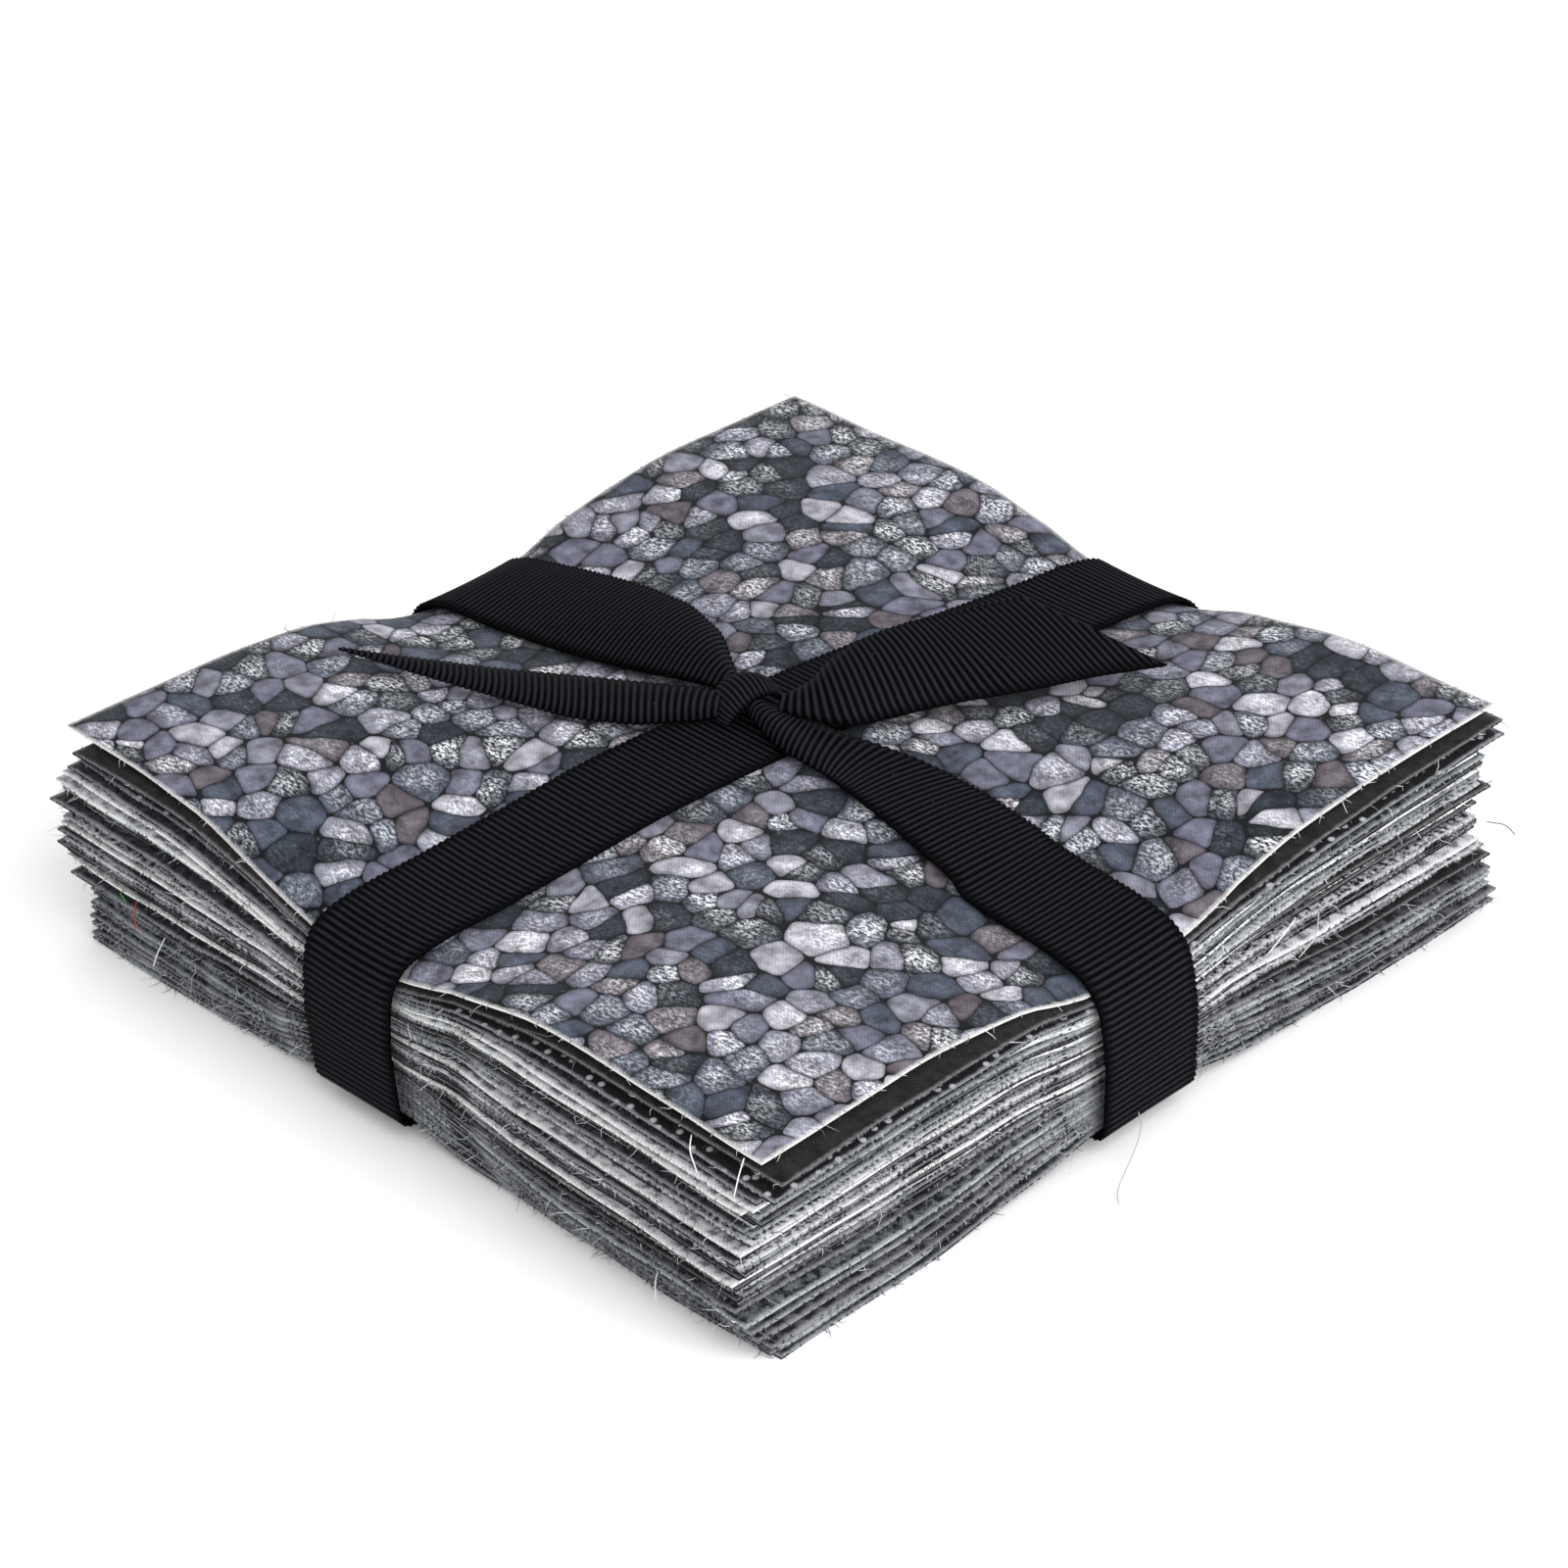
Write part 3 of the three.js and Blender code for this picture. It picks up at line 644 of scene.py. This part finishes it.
# %% [markdown]
# ## The ribbon
#
# Grosgrain is woven with thick ribs across its width and a firm edge. A strip of it is described by rows,
# each with three points: one edge, the middle and the other edge. A curve through the three gives the
# section, so the same rows can lie flat, arch, or fold over. The ribs are real: four steps of the grid to
# a rib, raised and lowered in turn.

# %% Ribbed strips
THICK = 0.42 * MM
RIB = 0.95 * MM  # from rib to rib
RIB_RELIEF = 0.1 * MM  # how far a rib stands out, and the furrow lies in
SELVEDGE = 0.06 * MM  # and how far they do so at the firm edges
STEPS_PER_RIB = 4
# A highlight is painted on the crest of each rib and shade in its furrow, by these shares
PAINTED_CREST_HIGHLIGHT = (0.08, 1.0, 0.08, 0.0)  # how much the crest of a rib shows, for each step of it
ACROSS_STEPS = 10
ROUNDS = 30  # of smoothing along a strip
PACK_MIDDLE = np.array((0.0, 0.0, 12 * MM))  # the ribs stand out away from here


def smoothed(values, times, closed):
    """Rows along a path with their kinks rounded off."""
    for _ in range(times):
        p = np.pad(values, ((1, 1), (0, 0)), mode="wrap" if closed else "edge")
        mixed = (p[:-2] + 2 * values + p[2:]) / 4
        values = mixed if closed else np.concatenate([values[:1], mixed[1:-1], values[-1:]])
    return values


def strip_points(rows, closed, rib, smoothing):
    """All the points of a ribbed strip, by step along it and place across it."""
    values = np.array(rows, float).reshape(len(rows), 9)
    if closed:
        values = np.concatenate([values, values[:1]])
    gaps = np.linalg.norm(np.diff(values[:, 3:6], axis=0), axis=1)
    lengths = np.concatenate([[0], np.cumsum(gaps)])
    steps = int(round(lengths[-1] / rib)) * STEPS_PER_RIB
    places = np.linspace(0, lengths[-1], steps + 1)
    values = np.stack([np.interp(places, lengths, column) for column in values.T], axis=1)
    if closed:
        values = smoothed(values[:-1], smoothing, True)
        values = np.concatenate([values, values[:1]])
    else:
        values = smoothed(values, smoothing, False)
    first, middle, last = values[:, None, :3], values[:, None, 3:6], values[:, None, 6:]
    # A parabola through one edge, the middle and the other edge
    t = np.linspace(0, 1, ACROSS_STEPS + 1)[None, :, None]
    points = first * (1 - t) * (1 - 2 * t) + middle * 4 * t * (1 - t) + last * t * (2 * t - 1)

    run = np.gradient(points, axis=0)
    if closed:
        run[0] = run[-1] = points[1] - points[-2]
    side = np.gradient(points, axis=1)
    side /= np.linalg.norm(side, axis=2, keepdims=True)
    out = np.cross(run, side)
    out /= np.linalg.norm(out, axis=2, keepdims=True)
    out *= np.sign(np.sum(out * (points - PACK_MIDDLE)))
    wave = np.sin(2 * np.pi * np.arange(steps + 1) / STEPS_PER_RIB)[:, None]
    points = points + out * (RIB_RELIEF * wave)[:, :, None]
    points[:, 0] -= side[:, 0] * SELVEDGE * wave
    points[:, -1] += side[:, -1] * SELVEDGE * wave
    return points


def add_strip(bm, rows, closed=False, rib=RIB, smoothing=ROUNDS):
    """Adds a ribbed strip to a bmesh, and gives back its new points."""
    points = strip_points(rows, closed, rib, smoothing)
    steps = len(points) - 1
    grid = bmesh.ops.create_grid(
        bm, x_segments=steps, y_segments=ACROSS_STEPS, size=1, calc_uvs=True
    )
    # Each point keeps how much of the painted crest highlight it gets
    crest = bm.verts.layers.float["crest"]
    for vert in grid["verts"]:
        n = int(round((vert.co.x + 1) / 2 * steps))
        k = int(round((vert.co.y + 1) / 2 * ACROSS_STEPS))
        vert.co = Vector(points[n, k])
        inside = 0 < k < ACROSS_STEPS
        vert[crest] = PAINTED_CREST_HIGHLIGHT[n % STEPS_PER_RIB] if inside else PAINTED_CREST_HIGHLIGHT[0]
    return grid["verts"]


# %% [markdown]
# ### The bands
#
# Each band goes once round the pack: over the cloth, round the top edge, down the side and underneath.
# Most of it lies on the cloth or close under it, so its rows are worked out from the height of the pack's
# top and underside there. The upper band is drawn in at the knot and stands off the cloth on both sides
# of it, so there its rows are given one by one.

# %% Where the bands run
LIE = 0.4 * MM  # the middle of the ribbon's thickness above the cloth
UNDER_LIE = 0.75 * MM  # and below it, under the pack
LOWER_BAND = 0.7 * MM  # the upper band goes below the other one underneath, by this
OFF_FLOOR = 0.36 * MM  # the lowest that the middle of its thickness can be
TURN = 6.0 * MM  # radius of the turn over the top edge
UNDER_TURN = 1.8 * MM  # and of the turn under the lower edge
BULGE = 0.6 * MM  # how far it bows out between them
CREST = 0.9 * MM  # it bridges the last dip before the edge, and is higher there by this
CREST_FROM = (0.55, 0.45)  # from here, and over how far, in half sides
RIM_INSET = 1.2 * MM  # cloth heights are read no nearer to the rim
HALF_SHEET = 0.5 * MM  # half the thickness of the model's ribbon
TOP_STATIONS, UNDER_STATIONS = 41, 33
UNDER_TO = 0.96  # where the rows underneath begin and end, in half sides
JOIN = 2 * MM  # the least step from a row placed by hand to one worked out
TURN_ANGLES = [30, 60, 90]
# The upper band by the knot, from the back left to the front right: near edge, middle, far edge, in mm
CROSS_BACK = [
    ((-58.3, -5.2, 26.5), (-58.3, 2.7, 27.0), (-58.3, 10.6, 26.9)),
    ((-47.8, -5.0, 27.2), (-48.0, 2.7, 28.8), (-48.1, 10.4, 29.3)),
    ((-39.2, -4.8, 28.2), (-39.5, 2.6, 30.5), (-39.7, 10.0, 31.2)),
    ((-32.9, -4.6, 29.0), (-33.2, 2.5, 31.8), (-33.4, 9.7, 32.4)),
    ((-24.0, -4.0, 30.3), (-24.3, 2.3, 33.5), (-24.6, 8.7, 33.8)),
    ((-15.6, -3.0, 31.8), (-15.8, 1.7, 34.6), (-16.4, 6.4, 33.8)),
    ((-11.6, -2.3, 32.3), (-11.8, 1.0, 34.4), (-12.9, 4.4, 32.9)),
    ((-8.0, -1.8, 32.6), (-8.6, 0.3, 33.8), (-9.6, 2.4, 32.1)),
    ((-4.0, -2.2, 32.4), (-4.4, -0.4, 33.4), (-5.0, 1.4, 31.8)),
]
CROSS_FRONT = [
    ((-0.2, -3.4, 31.8), (0.0, -2.3, 33.4), (0.0, 0.6, 31.6)),
    ((5.2, -4.8, 31.0), (5.0, -3.3, 33.0), (2.4, 1.4, 31.4)),
    ((9.4, -4.6, 30.7), (9.2, -3.4, 32.2), (5.4, 2.2, 31.0)),
    ((13.0, -4.7, 30.5), (11.6, -2.2, 31.4), (9.0, 3.2, 30.7)),
    ((15.4, -4.9, 30.4), (14.6, -0.8, 30.8), (13.6, 4.6, 30.4)),
    ((18.0, -5.2, 30.2), (18.2, 0.2, 30.4), (18.8, 5.8, 30.1)),
    ((21.6, -5.7, 30.0), (22.6, 0.5, 30.0), (24.0, 6.6, 29.6)),
    ((28.6, -6.6, 29.2), (29.4, 0.4, 29.4), (30.4, 7.0, 29.0)),
    ((38.6, -8.0, 27.9), (39.2, -0.7, 28.1), (39.6, 6.8, 27.9)),
]


top_search = search_tree(squares[-1])
bottom_search = search_tree(squares[0])
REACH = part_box("ribbon")[1].x - BULGE - HALF_SHEET


def placed(rows):
    """Rows in metres."""
    return [[tuple(c * MM for c in point) for point in row] for row in rows]


def along_x(along, across, height):
    return along, across, height


def along_y(along, across, height):
    return across, along, height


def cloth_height(x, y, above=True):
    """The top of the pack at a place, or its underside, or that of the nearest place inside its rim."""
    limit = HALF - RIM_INSET
    x, y = (float(np.clip(value, -limit, limit)) for value in (x, y))
    if above:
        return top_search.ray_cast(Vector((x, y, 1)), Vector((0, 0, -1)))[0].z
    return bottom_search.ray_cast(Vector((x, y, -1)), Vector((0, 0, 1)))[0].z


def band_rows(edges, to_xyz, lower, middle_rows=()):
    """One band's rows, once round the pack. lower is how far it lies below the other one underneath."""
    stop = REACH - TURN

    def row(along, levels=(0, 0, 0)):
        centre = float(np.interp(along, [-HALF, HALF], np.array(edges) * MM))
        spread = (-WIDTH / 2, 0.0, WIDTH / 2)
        return [to_xyz(along, centre + s, level) for s, level in zip(spread, levels)]

    def top_row(along):
        crest = CREST * ramp(abs(along) / HALF, *CREST_FROM)
        return [(x, y, cloth_height(x, y) + LIE + crest) for x, y, _ in row(along)]

    def under_row(along):
        below = UNDER_LIE + lower * (abs(along) < WIDTH)
        undersides = [(x, y, cloth_height(x, y, above=False)) for x, y, _ in row(along)]
        return [(x, y, max(z - below, OFF_FLOOR)) for x, y, z in undersides]

    def round_side(sign):
        shoulder = np.array([point[2] for point in top_row(sign * stop)])
        level = np.array([point[2] for point in under_row(sign * HALF)])
        down = []
        for a in np.radians(TURN_ANGLES):
            down.append((stop + TURN * math.sin(a), shoulder - TURN * (1 - math.cos(a))))
        down.append((REACH + BULGE, (shoulder + level) / 2))
        for a in np.radians(TURN_ANGLES[::-1]):
            inward = UNDER_TURN * (1 - math.sin(a))
            down.append((REACH - inward, level + UNDER_TURN * (1 - math.cos(a))))
        return [row(sign * along, levels) for along, levels in down]

    by_hand = placed(middle_rows)
    starts = min(p[0] for p in by_hand[0]) if by_hand else 0
    ends = max(p[0] for p in by_hand[-1]) if by_hand else 0
    stations = np.linspace(-stop, stop, TOP_STATIONS)
    rows = [top_row(a) for a in stations if a < starts - JOIN]
    rows += by_hand
    rows += [top_row(a) for a in stations if a > ends + JOIN]
    rows += round_side(1)
    rows += [under_row(a) for a in np.linspace(UNDER_TO, -UNDER_TO, UNDER_STATIONS) * HALF]
    rows += round_side(-1)[::-1]
    return rows


# %% [markdown]
# ### The free ends and the knot
#
# One end leaves the knot broad, leans on its front edge and is cut on a slant. The other is folded along
# its middle and runs out to a point. The knot itself is a turn of gathered ribbon over the neck of the
# upper band. No rule gives such folds, so they are rows given one by one, in mm: first edge, middle, last
# edge.

# %% Free ends and knot
BROAD_END = [
    ((0.4, 1.6, 33.2), (0.8, 0.6, 34.0), (1.0, -0.4, 32.4)),
    ((0.5, 5.8, 33.4), (3.0, 3.4, 34.4), (5.2, 1.6, 31.8)),
    ((0.8, 8.4, 35.4), (4.6, 6.0, 35.3), (9.3, 4.1, 31.4)),
    ((1.8, 12.0, 36.9), (6.4, 10.2, 35.9), (11.6, 8.4, 31.6)),
    ((2.7, 15.7, 37.3), (8.0, 14.4, 36.0), (13.8, 12.8, 31.8)),
    ((3.8, 20.0, 37.3), (9.6, 18.8, 35.8), (16.3, 17.5, 32.0)),
    ((5.7, 25.6, 37.0), (12.6, 25.2, 35.5), (20.9, 24.9, 32.1)),
    ((9.2, 35.6, 36.3), (16.4, 34.4, 34.8), (24.8, 33.0, 32.1)),
    ((13.0, 46.0, 35.6), (22.0, 45.0, 34.2), (31.6, 43.4, 32.2)),
]
SLANT_CUT = ((9.2, 35.6), (29.8, 40.4))
DART_END = [
    ((-3.6, -1.6, 33.0), (-3.4, -2.6, 33.4), (-3.6, -3.2, 31.6)),
    ((-8.2, -4.0, 33.7), (-6.6, -6.6, 33.4), (-6.4, -7.0, 31.2)),
    ((-15.7, -8.5, 33.6), (-12.4, -11.8, 33.3), (-11.8, -12.6, 31.0)),
    ((-23.6, -12.5, 33.2), (-19.2, -16.4, 33.0), (-19.0, -17.2, 31.1)),
    ((-32.8, -17.7, 32.9), (-29.6, -20.4, 32.8), (-30.0, -20.8, 31.6)),
    ((-43.2, -23.1, 32.8), (-41.6, -24.4, 32.8), (-42.0, -24.7, 32.2)),
    ((-50.4, -26.8, 32.8), (-50.2, -27.0, 32.8), (-50.3, -27.1, 32.6)),
    ((-52.2, -27.7, 32.8), (-52.2, -27.8, 32.8), (-52.2, -27.9, 32.7)),
]
KNOT_TURN = [
    ((-7.0, -4.4, 31.0), (-5.2, -5.2, 31.2), (-3.2, -5.0, 30.8)),
    ((-7.4, -3.8, 32.6), (-5.2, -4.9, 33.0), (-2.6, -4.6, 31.8)),
    ((-7.6, -2.6, 33.8), (-5.0, -3.2, 34.6), (-2.1, -3.4, 33.0)),
    ((-7.3, -0.9, 34.5), (-4.6, -1.1, 35.4), (-1.7, -1.5, 33.8)),
    ((-6.3, 1.0, 34.3), (-3.9, 0.9, 35.2), (-1.2, 0.4, 33.8)),
    ((-5.0, 2.4, 33.2), (-3.0, 2.6, 33.8), (-0.8, 1.8, 32.8)),
    ((-4.4, 3.0, 31.2), (-2.6, 3.2, 31.6), (-0.6, 2.4, 31.0)),
]
KNOT_RIB = 0.75 * MM  # ribs crowd together where the ribbon is gathered


# %% [markdown]
# ### Black grosgrain
#
# The ribbon is dyed black through and through, so only its ribs show. A highlight is painted on their
# crests and shade in the furrows between them: how much of a crest each point is was kept with the strip,
# and mixes a painted furrow shade and a painted crest highlight, both near black. Rows placed in mm
# become strips, the broad end is cut with a plane, and a modifier gives the ribbon its thickness, the
# same on both faces.

# %% Black grosgrain
# The ribbon itself is black: the furrow black is painted shade and the crest black a painted highlight
FURROW_PAINTED_SHADE, CREST_PAINTED_HIGHLIGHT, LINT = "#010101", "#24252b", "#8a8a90"
LINT_SIZE = 1 / 2400  # m between specks of lint
SEAM = 0.002 * MM  # points nearer than this are one


def grosgrain():
    """Woven polyester grosgrain: black and ribbed, with a low sheen, a highlight painted on the crests of
    its ribs and shade painted in its furrows, and a few pale specks of lint.
    """
    sheen = {"Roughness": 0.5, "Specular IOR Level": 0.015}
    material, tree, shader = new_material("black grosgrain", sheen)
    place = add_node(tree, "TexCoord").outputs["Object"]
    lint = add_node(tree, "TexNoise", {"Vector": place, "Scale": 1 / LINT_SIZE, "Detail": 1.0})
    speck = add_node(tree, "MapRange", {0: lint, 1: 0.79, 2: 0.83, 3: 0.0, 4: 0.25})
    # How much of a crest a point is mixes painted shade in the furrows with a painted highlight on the
    # crests
    crest = add_node(tree, "Attribute", attribute_name="crest").outputs["Fac"]
    ribbed = add_node(
        tree,
        "Mix",
        {"Factor": crest, "A": linear(FURROW_PAINTED_SHADE), "B": linear(CREST_PAINTED_HIGHLIGHT)},
        data_type="RGBA",
    ).outputs["Result"]
    colour = add_node(
        tree, "Mix", {"Factor": speck, "A": ribbed, "B": linear(LINT)}, data_type="RGBA"
    ).outputs["Result"]
    feed(tree, shader, {"Base Color": colour})
    return material


black = grosgrain()
bm = bmesh.new()
bm.loops.layers.uv.new("UVMap")
bm.verts.layers.float.new("crest")
add_strip(bm, band_rows(LONG_EDGES, along_y, 0.0), closed=True)
upper_band = band_rows(CROSS_EDGES, along_x, LOWER_BAND, CROSS_BACK + CROSS_FRONT)
add_strip(bm, upper_band, closed=True)
add_strip(bm, placed(DART_END))
add_strip(bm, placed(KNOT_TURN), rib=KNOT_RIB)
broad = add_strip(bm, placed(BROAD_END))
cut_from, cut_to = (Vector((x, y, 0)) * MM for x, y in SLANT_CUT)
faces = {f for v in broad for f in v.link_faces}
edges = {e for f in faces for e in f.edges}
bmesh.ops.bisect_plane(
    bm,
    geom=[*broad, *edges, *faces],
    plane_co=cut_from,
    plane_no=Vector((0, 0, 1)).cross(cut_to - cut_from),
    clear_outer=True,
)
bmesh.ops.remove_doubles(bm, verts=bm.verts, dist=SEAM)
for face in bm.faces:
    face.smooth = True
ribbon = add_object("ribbon_grosgrain", bm, black)
thicken = ribbon.modifiers.new("thickness", "SOLIDIFY")
thicken.thickness = THICK
thicken.offset = 0
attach(ribbon, "root")
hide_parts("ribbon")
print("ribbon faces:", len(ribbon.data.polygons))

# %% [markdown]
# ## Frayed ends
#
# Cut cotton sheds: all along the edges stand short ends of yarn, most under a millimetre long, pale where
# the core shows and dark where the ink soaked through. They are small tubes with three sides, all in one
# mesh made from arrays, with their colour kept on the points. None stand where the ribbon lies over the
# edges.

# %% Short yarn ends
FIBRES = 10000
FIBRE_RADIUS = 0.05 * MM  # a real fibre is finer, and too thin to show
FIBRE_RANGE = (0.7, 1.4)  # the finest and the thickest, in shares of that
FIBRE_TAPER = (1.0, 0.85, 0.3)  # from its root to its tip
SHORTEST, USUALLY_MORE, LONGEST = 0.25, 0.4, 2.0  # mm
ROOTED = 0.15  # mm of a fibre inside the cloth
FIBRE_CLEAR = 0.8 * MM  # off the ribbon's edges
FIBRE_FLOOR = 0.1 * MM
# How a fibre leans at half its length and bends at its tip, in lengths: spread along the edge, then up
LEAN = (0.7, -0.1, 0.35)
BEND_OVER = (0.5, -0.15, 0.3)
TUBE_SIDES = 3
FIBRE_TONES = ["#c9cacc", "#9fa1a6", "#686a71", "#303135", "#17171a"]
# How often each of these tones comes up, by the slot of the cloth
TONE_SHARES = {
    "dark_cotton": [1, 2, 2, 4, 4],
    "grey_cotton": [2, 3, 4, 3, 2],
    "pale_cotton": [5, 5, 2, 1, 0],
    "stone_print_cotton": [8, 4, 2, 1, 0],
}


def tubes(paths, radius, taper):
    """Points and faces of thin three-sided tubes, closed at both ends. paths is tubes x rings x 3."""
    count, rings, _ = paths.shape
    ahead = paths[:, -1] - paths[:, 0]
    ahead /= np.linalg.norm(ahead, axis=1, keepdims=True)
    helper = np.where(np.abs(ahead[:, 2:]) < 0.8, np.array([[0.0, 0, 1]]), np.array([[1.0, 0, 0]]))
    first = np.cross(ahead, helper)
    first /= np.linalg.norm(first, axis=1, keepdims=True)
    second = np.cross(ahead, first)
    angles = (np.arange(TUBE_SIDES) * 2 * np.pi / TUBE_SIDES)[None, :, None]
    ring = first[:, None] * np.cos(angles) + second[:, None] * np.sin(angles)
    widths = np.array(radius)[:, None] * np.array(taper)[None, :]
    points = paths[:, :, None, :] + ring[:, None] * widths[:, :, None, None]
    base = np.arange(count)[:, None, None] * rings * TUBE_SIDES
    ring_base = base + np.arange(rings - 1)[None, :, None] * TUBE_SIDES
    corner = np.arange(TUBE_SIDES)[None, None, :]
    low = ring_base + corner
    after = ring_base + (corner + 1) % TUBE_SIDES
    quads = np.stack([low, after, after + TUBE_SIDES, low + TUBE_SIDES], axis=-1).reshape(-1, 4)
    starts = base.reshape(-1, 1) + np.array([[0, 2, 1]])
    ends = base.reshape(-1, 1) + (rings - 1) * TUBE_SIDES + np.array([[0, 1, 2]])
    return points.reshape(-1, 3), [*quads.tolist(), *starts.tolist(), *ends.tolist()]


def strayed(along, spread, up, spread_up):
    """A random way to go, along an edge and up."""
    return along * rng.normal(0, spread) + np.array((0, 0, rng.normal(up, spread_up)))


def yarn_ends():
    """Paths, radii and tones of the short ends along all the cut edges."""
    paths, radii, tones = [], [], []
    outward = {"left": (-1, 0, 0), "right": (1, 0, 0), "near": (0, -1, 0), "far": (0, 1, 0)}
    names = list(outward)
    for _ in range(FIBRES):
        number = int(rng.integers(len(squares)))
        side = names[int(rng.integers(4))]
        line = rims[number][side]
        spot = rng.uniform(0, STEPS - 1e-6)
        whole = int(spot)
        root = line[whole] + (line[whole + 1] - line[whole]) * (spot - whole)
        if off_ribbon(root[0], root[1]) < FIBRE_CLEAR:
            continue
        way = np.array(outward[side], float)
        along = np.array((way[1], way[0], 0))
        length = min(SHORTEST + rng.exponential(USUALLY_MORE), LONGEST) * MM
        lean = strayed(along, *LEAN)
        bend = strayed(along, *BEND_OVER)
        halfway = root + (way + lean) * length / 2
        path = np.array([root - way * ROOTED * MM, halfway, root + (way + lean + bend) * length])
        path[:, 2] = np.maximum(path[:, 2], FIBRE_FLOOR)
        paths.append(path)
        radii.append(FIBRE_RADIUS * rng.uniform(*FIBRE_RANGE))
        _, _, slot = cottons[PRINT_ORDER[number]]
        weights = np.array(TONE_SHARES[slot], float)
        tones.append(int(rng.choice(len(FIBRE_TONES), p=weights / weights.sum())))
    return np.array(paths), radii, tones


def yarn():
    """Loose cotton yarn: matt, in the tone kept on its points."""
    material, tree, shader = new_material("loose cotton yarn", MATT)
    tone = add_node(tree, "Attribute", attribute_name="tone")
    feed(tree, shader, {"Base Color": tone})
    return material


def add_yarn(name, points, faces, colours, material):
    """An object from points, faces and a colour for each point."""
    mesh = bpy.data.meshes.new(name)
    mesh.from_pydata(points.tolist(), [], faces)
    layer = mesh.color_attributes.new("tone", "FLOAT_COLOR", "POINT")
    layer.data.foreach_set("color", np.array(colours, float).ravel())
    made = show(name, mesh, material)
    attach(made, "root")
    return made


loose = yarn()
paths, radii, tones = yarn_ends()
points, faces = tubes(paths, radii, FIBRE_TAPER)
palette = np.array([linear(tone) for tone in FIBRE_TONES])
colours = np.repeat(palette[tones], len(FIBRE_TAPER) * TUBE_SIDES, axis=0)
fray = add_yarn("frayed_ends", points, faces, colours, loose)
print("yarn ends:", len(paths), "faces:", len(faces))

# %% [markdown]
# ### Loose threads
#
# A few long threads have come out of the weave and hang over the sides, most of them white, one green and
# one red. Each is a tube along a path through a few points, read off.

# %% Long loose threads
THREAD_RADIUS = 0.085 * MM
THREAD_RINGS = 14
THREAD_ROUNDS = 3  # of smoothing along a thread
TIP = 0.5  # a thread's last ring, in shares of its radius
THREADS = [
    # Tone, then the points it passes through, in mm
    ("#dedede", [(60.5, -63.6, 27.4), (61.2, -65.2, 26.2), (61.0, -65.8, 23.8), (60.2, -65.6, 22.2)]),
    ("#dedede", [(52.0, -63.8, 26.6), (53.2, -65.4, 25.8), (54.6, -65.6, 23.6), (54.4, -65.3, 22.0)]),
    ("#d4d4d4", [(47.5, -64.0, 8.2), (46.8, -65.2, 7.0), (46.6, -66.4, 4.2), (47.2, -66.9, 1.8)]),
    ("#e4e4e4", [(64.2, 20.0, 13.6), (66.0, 18.6, 15.6), (66.2, 22.4, 17.8), (64.6, 25.4, 17.0)]),
    ("#d8d8d8", [(64.3, 30.0, 15.4), (66.1, 27.6, 13.8), (65.8, 24.6, 12.0)]),
    (
        "#c8c8ca",
        [(65.0, -4.0, 4.6), (67.8, -5.6, 3.6), (69.6, -10.4, 1.6)]
        + [(71.0, -14.2, 0.4), (73.0, -15.6, 0.2)],
    ),
    ("#3f8a3a", [(-53.8, -64.6, 13.0), (-52.0, -66.4, 14.2), (-50.4, -66.7, 13.8)]),
    ("#b3392f", [(-51.6, -64.2, 12.2), (-50.4, -66.0, 11.2), (-48.8, -66.4, 9.8)]),
    ("#d6d6d8", [(-46.6, -64.2, 8.8), (-46.2, -66.0, 7.4), (-46.8, -66.4, 5.4)]),
    ("#26262a", [(64.0, 62.6, 12.6), (65.6, 64.4, 12.0), (66.6, 65.2, 10.4)]),
]


def rounded(points):
    """A smooth path through a few points."""
    points = np.array(points, float) * MM
    spots = np.linspace(0, 1, THREAD_RINGS)
    given = np.linspace(0, 1, len(points))
    path = np.stack([np.interp(spots, given, column) for column in points.T], axis=1)
    return smoothed(path, THREAD_ROUNDS, False)


thread_paths = np.array([rounded(points) for _, points in THREADS])
taper = [1.0] * (THREAD_RINGS - 1) + [TIP]
points, faces = tubes(thread_paths, [THREAD_RADIUS] * len(THREADS), taper)
colours = np.repeat([linear(tone) for tone, _ in THREADS], THREAD_RINGS * TUBE_SIDES, axis=0)
threads = add_yarn("loose_threads", points, faces, colours, loose)
print("threads:", len(THREADS))
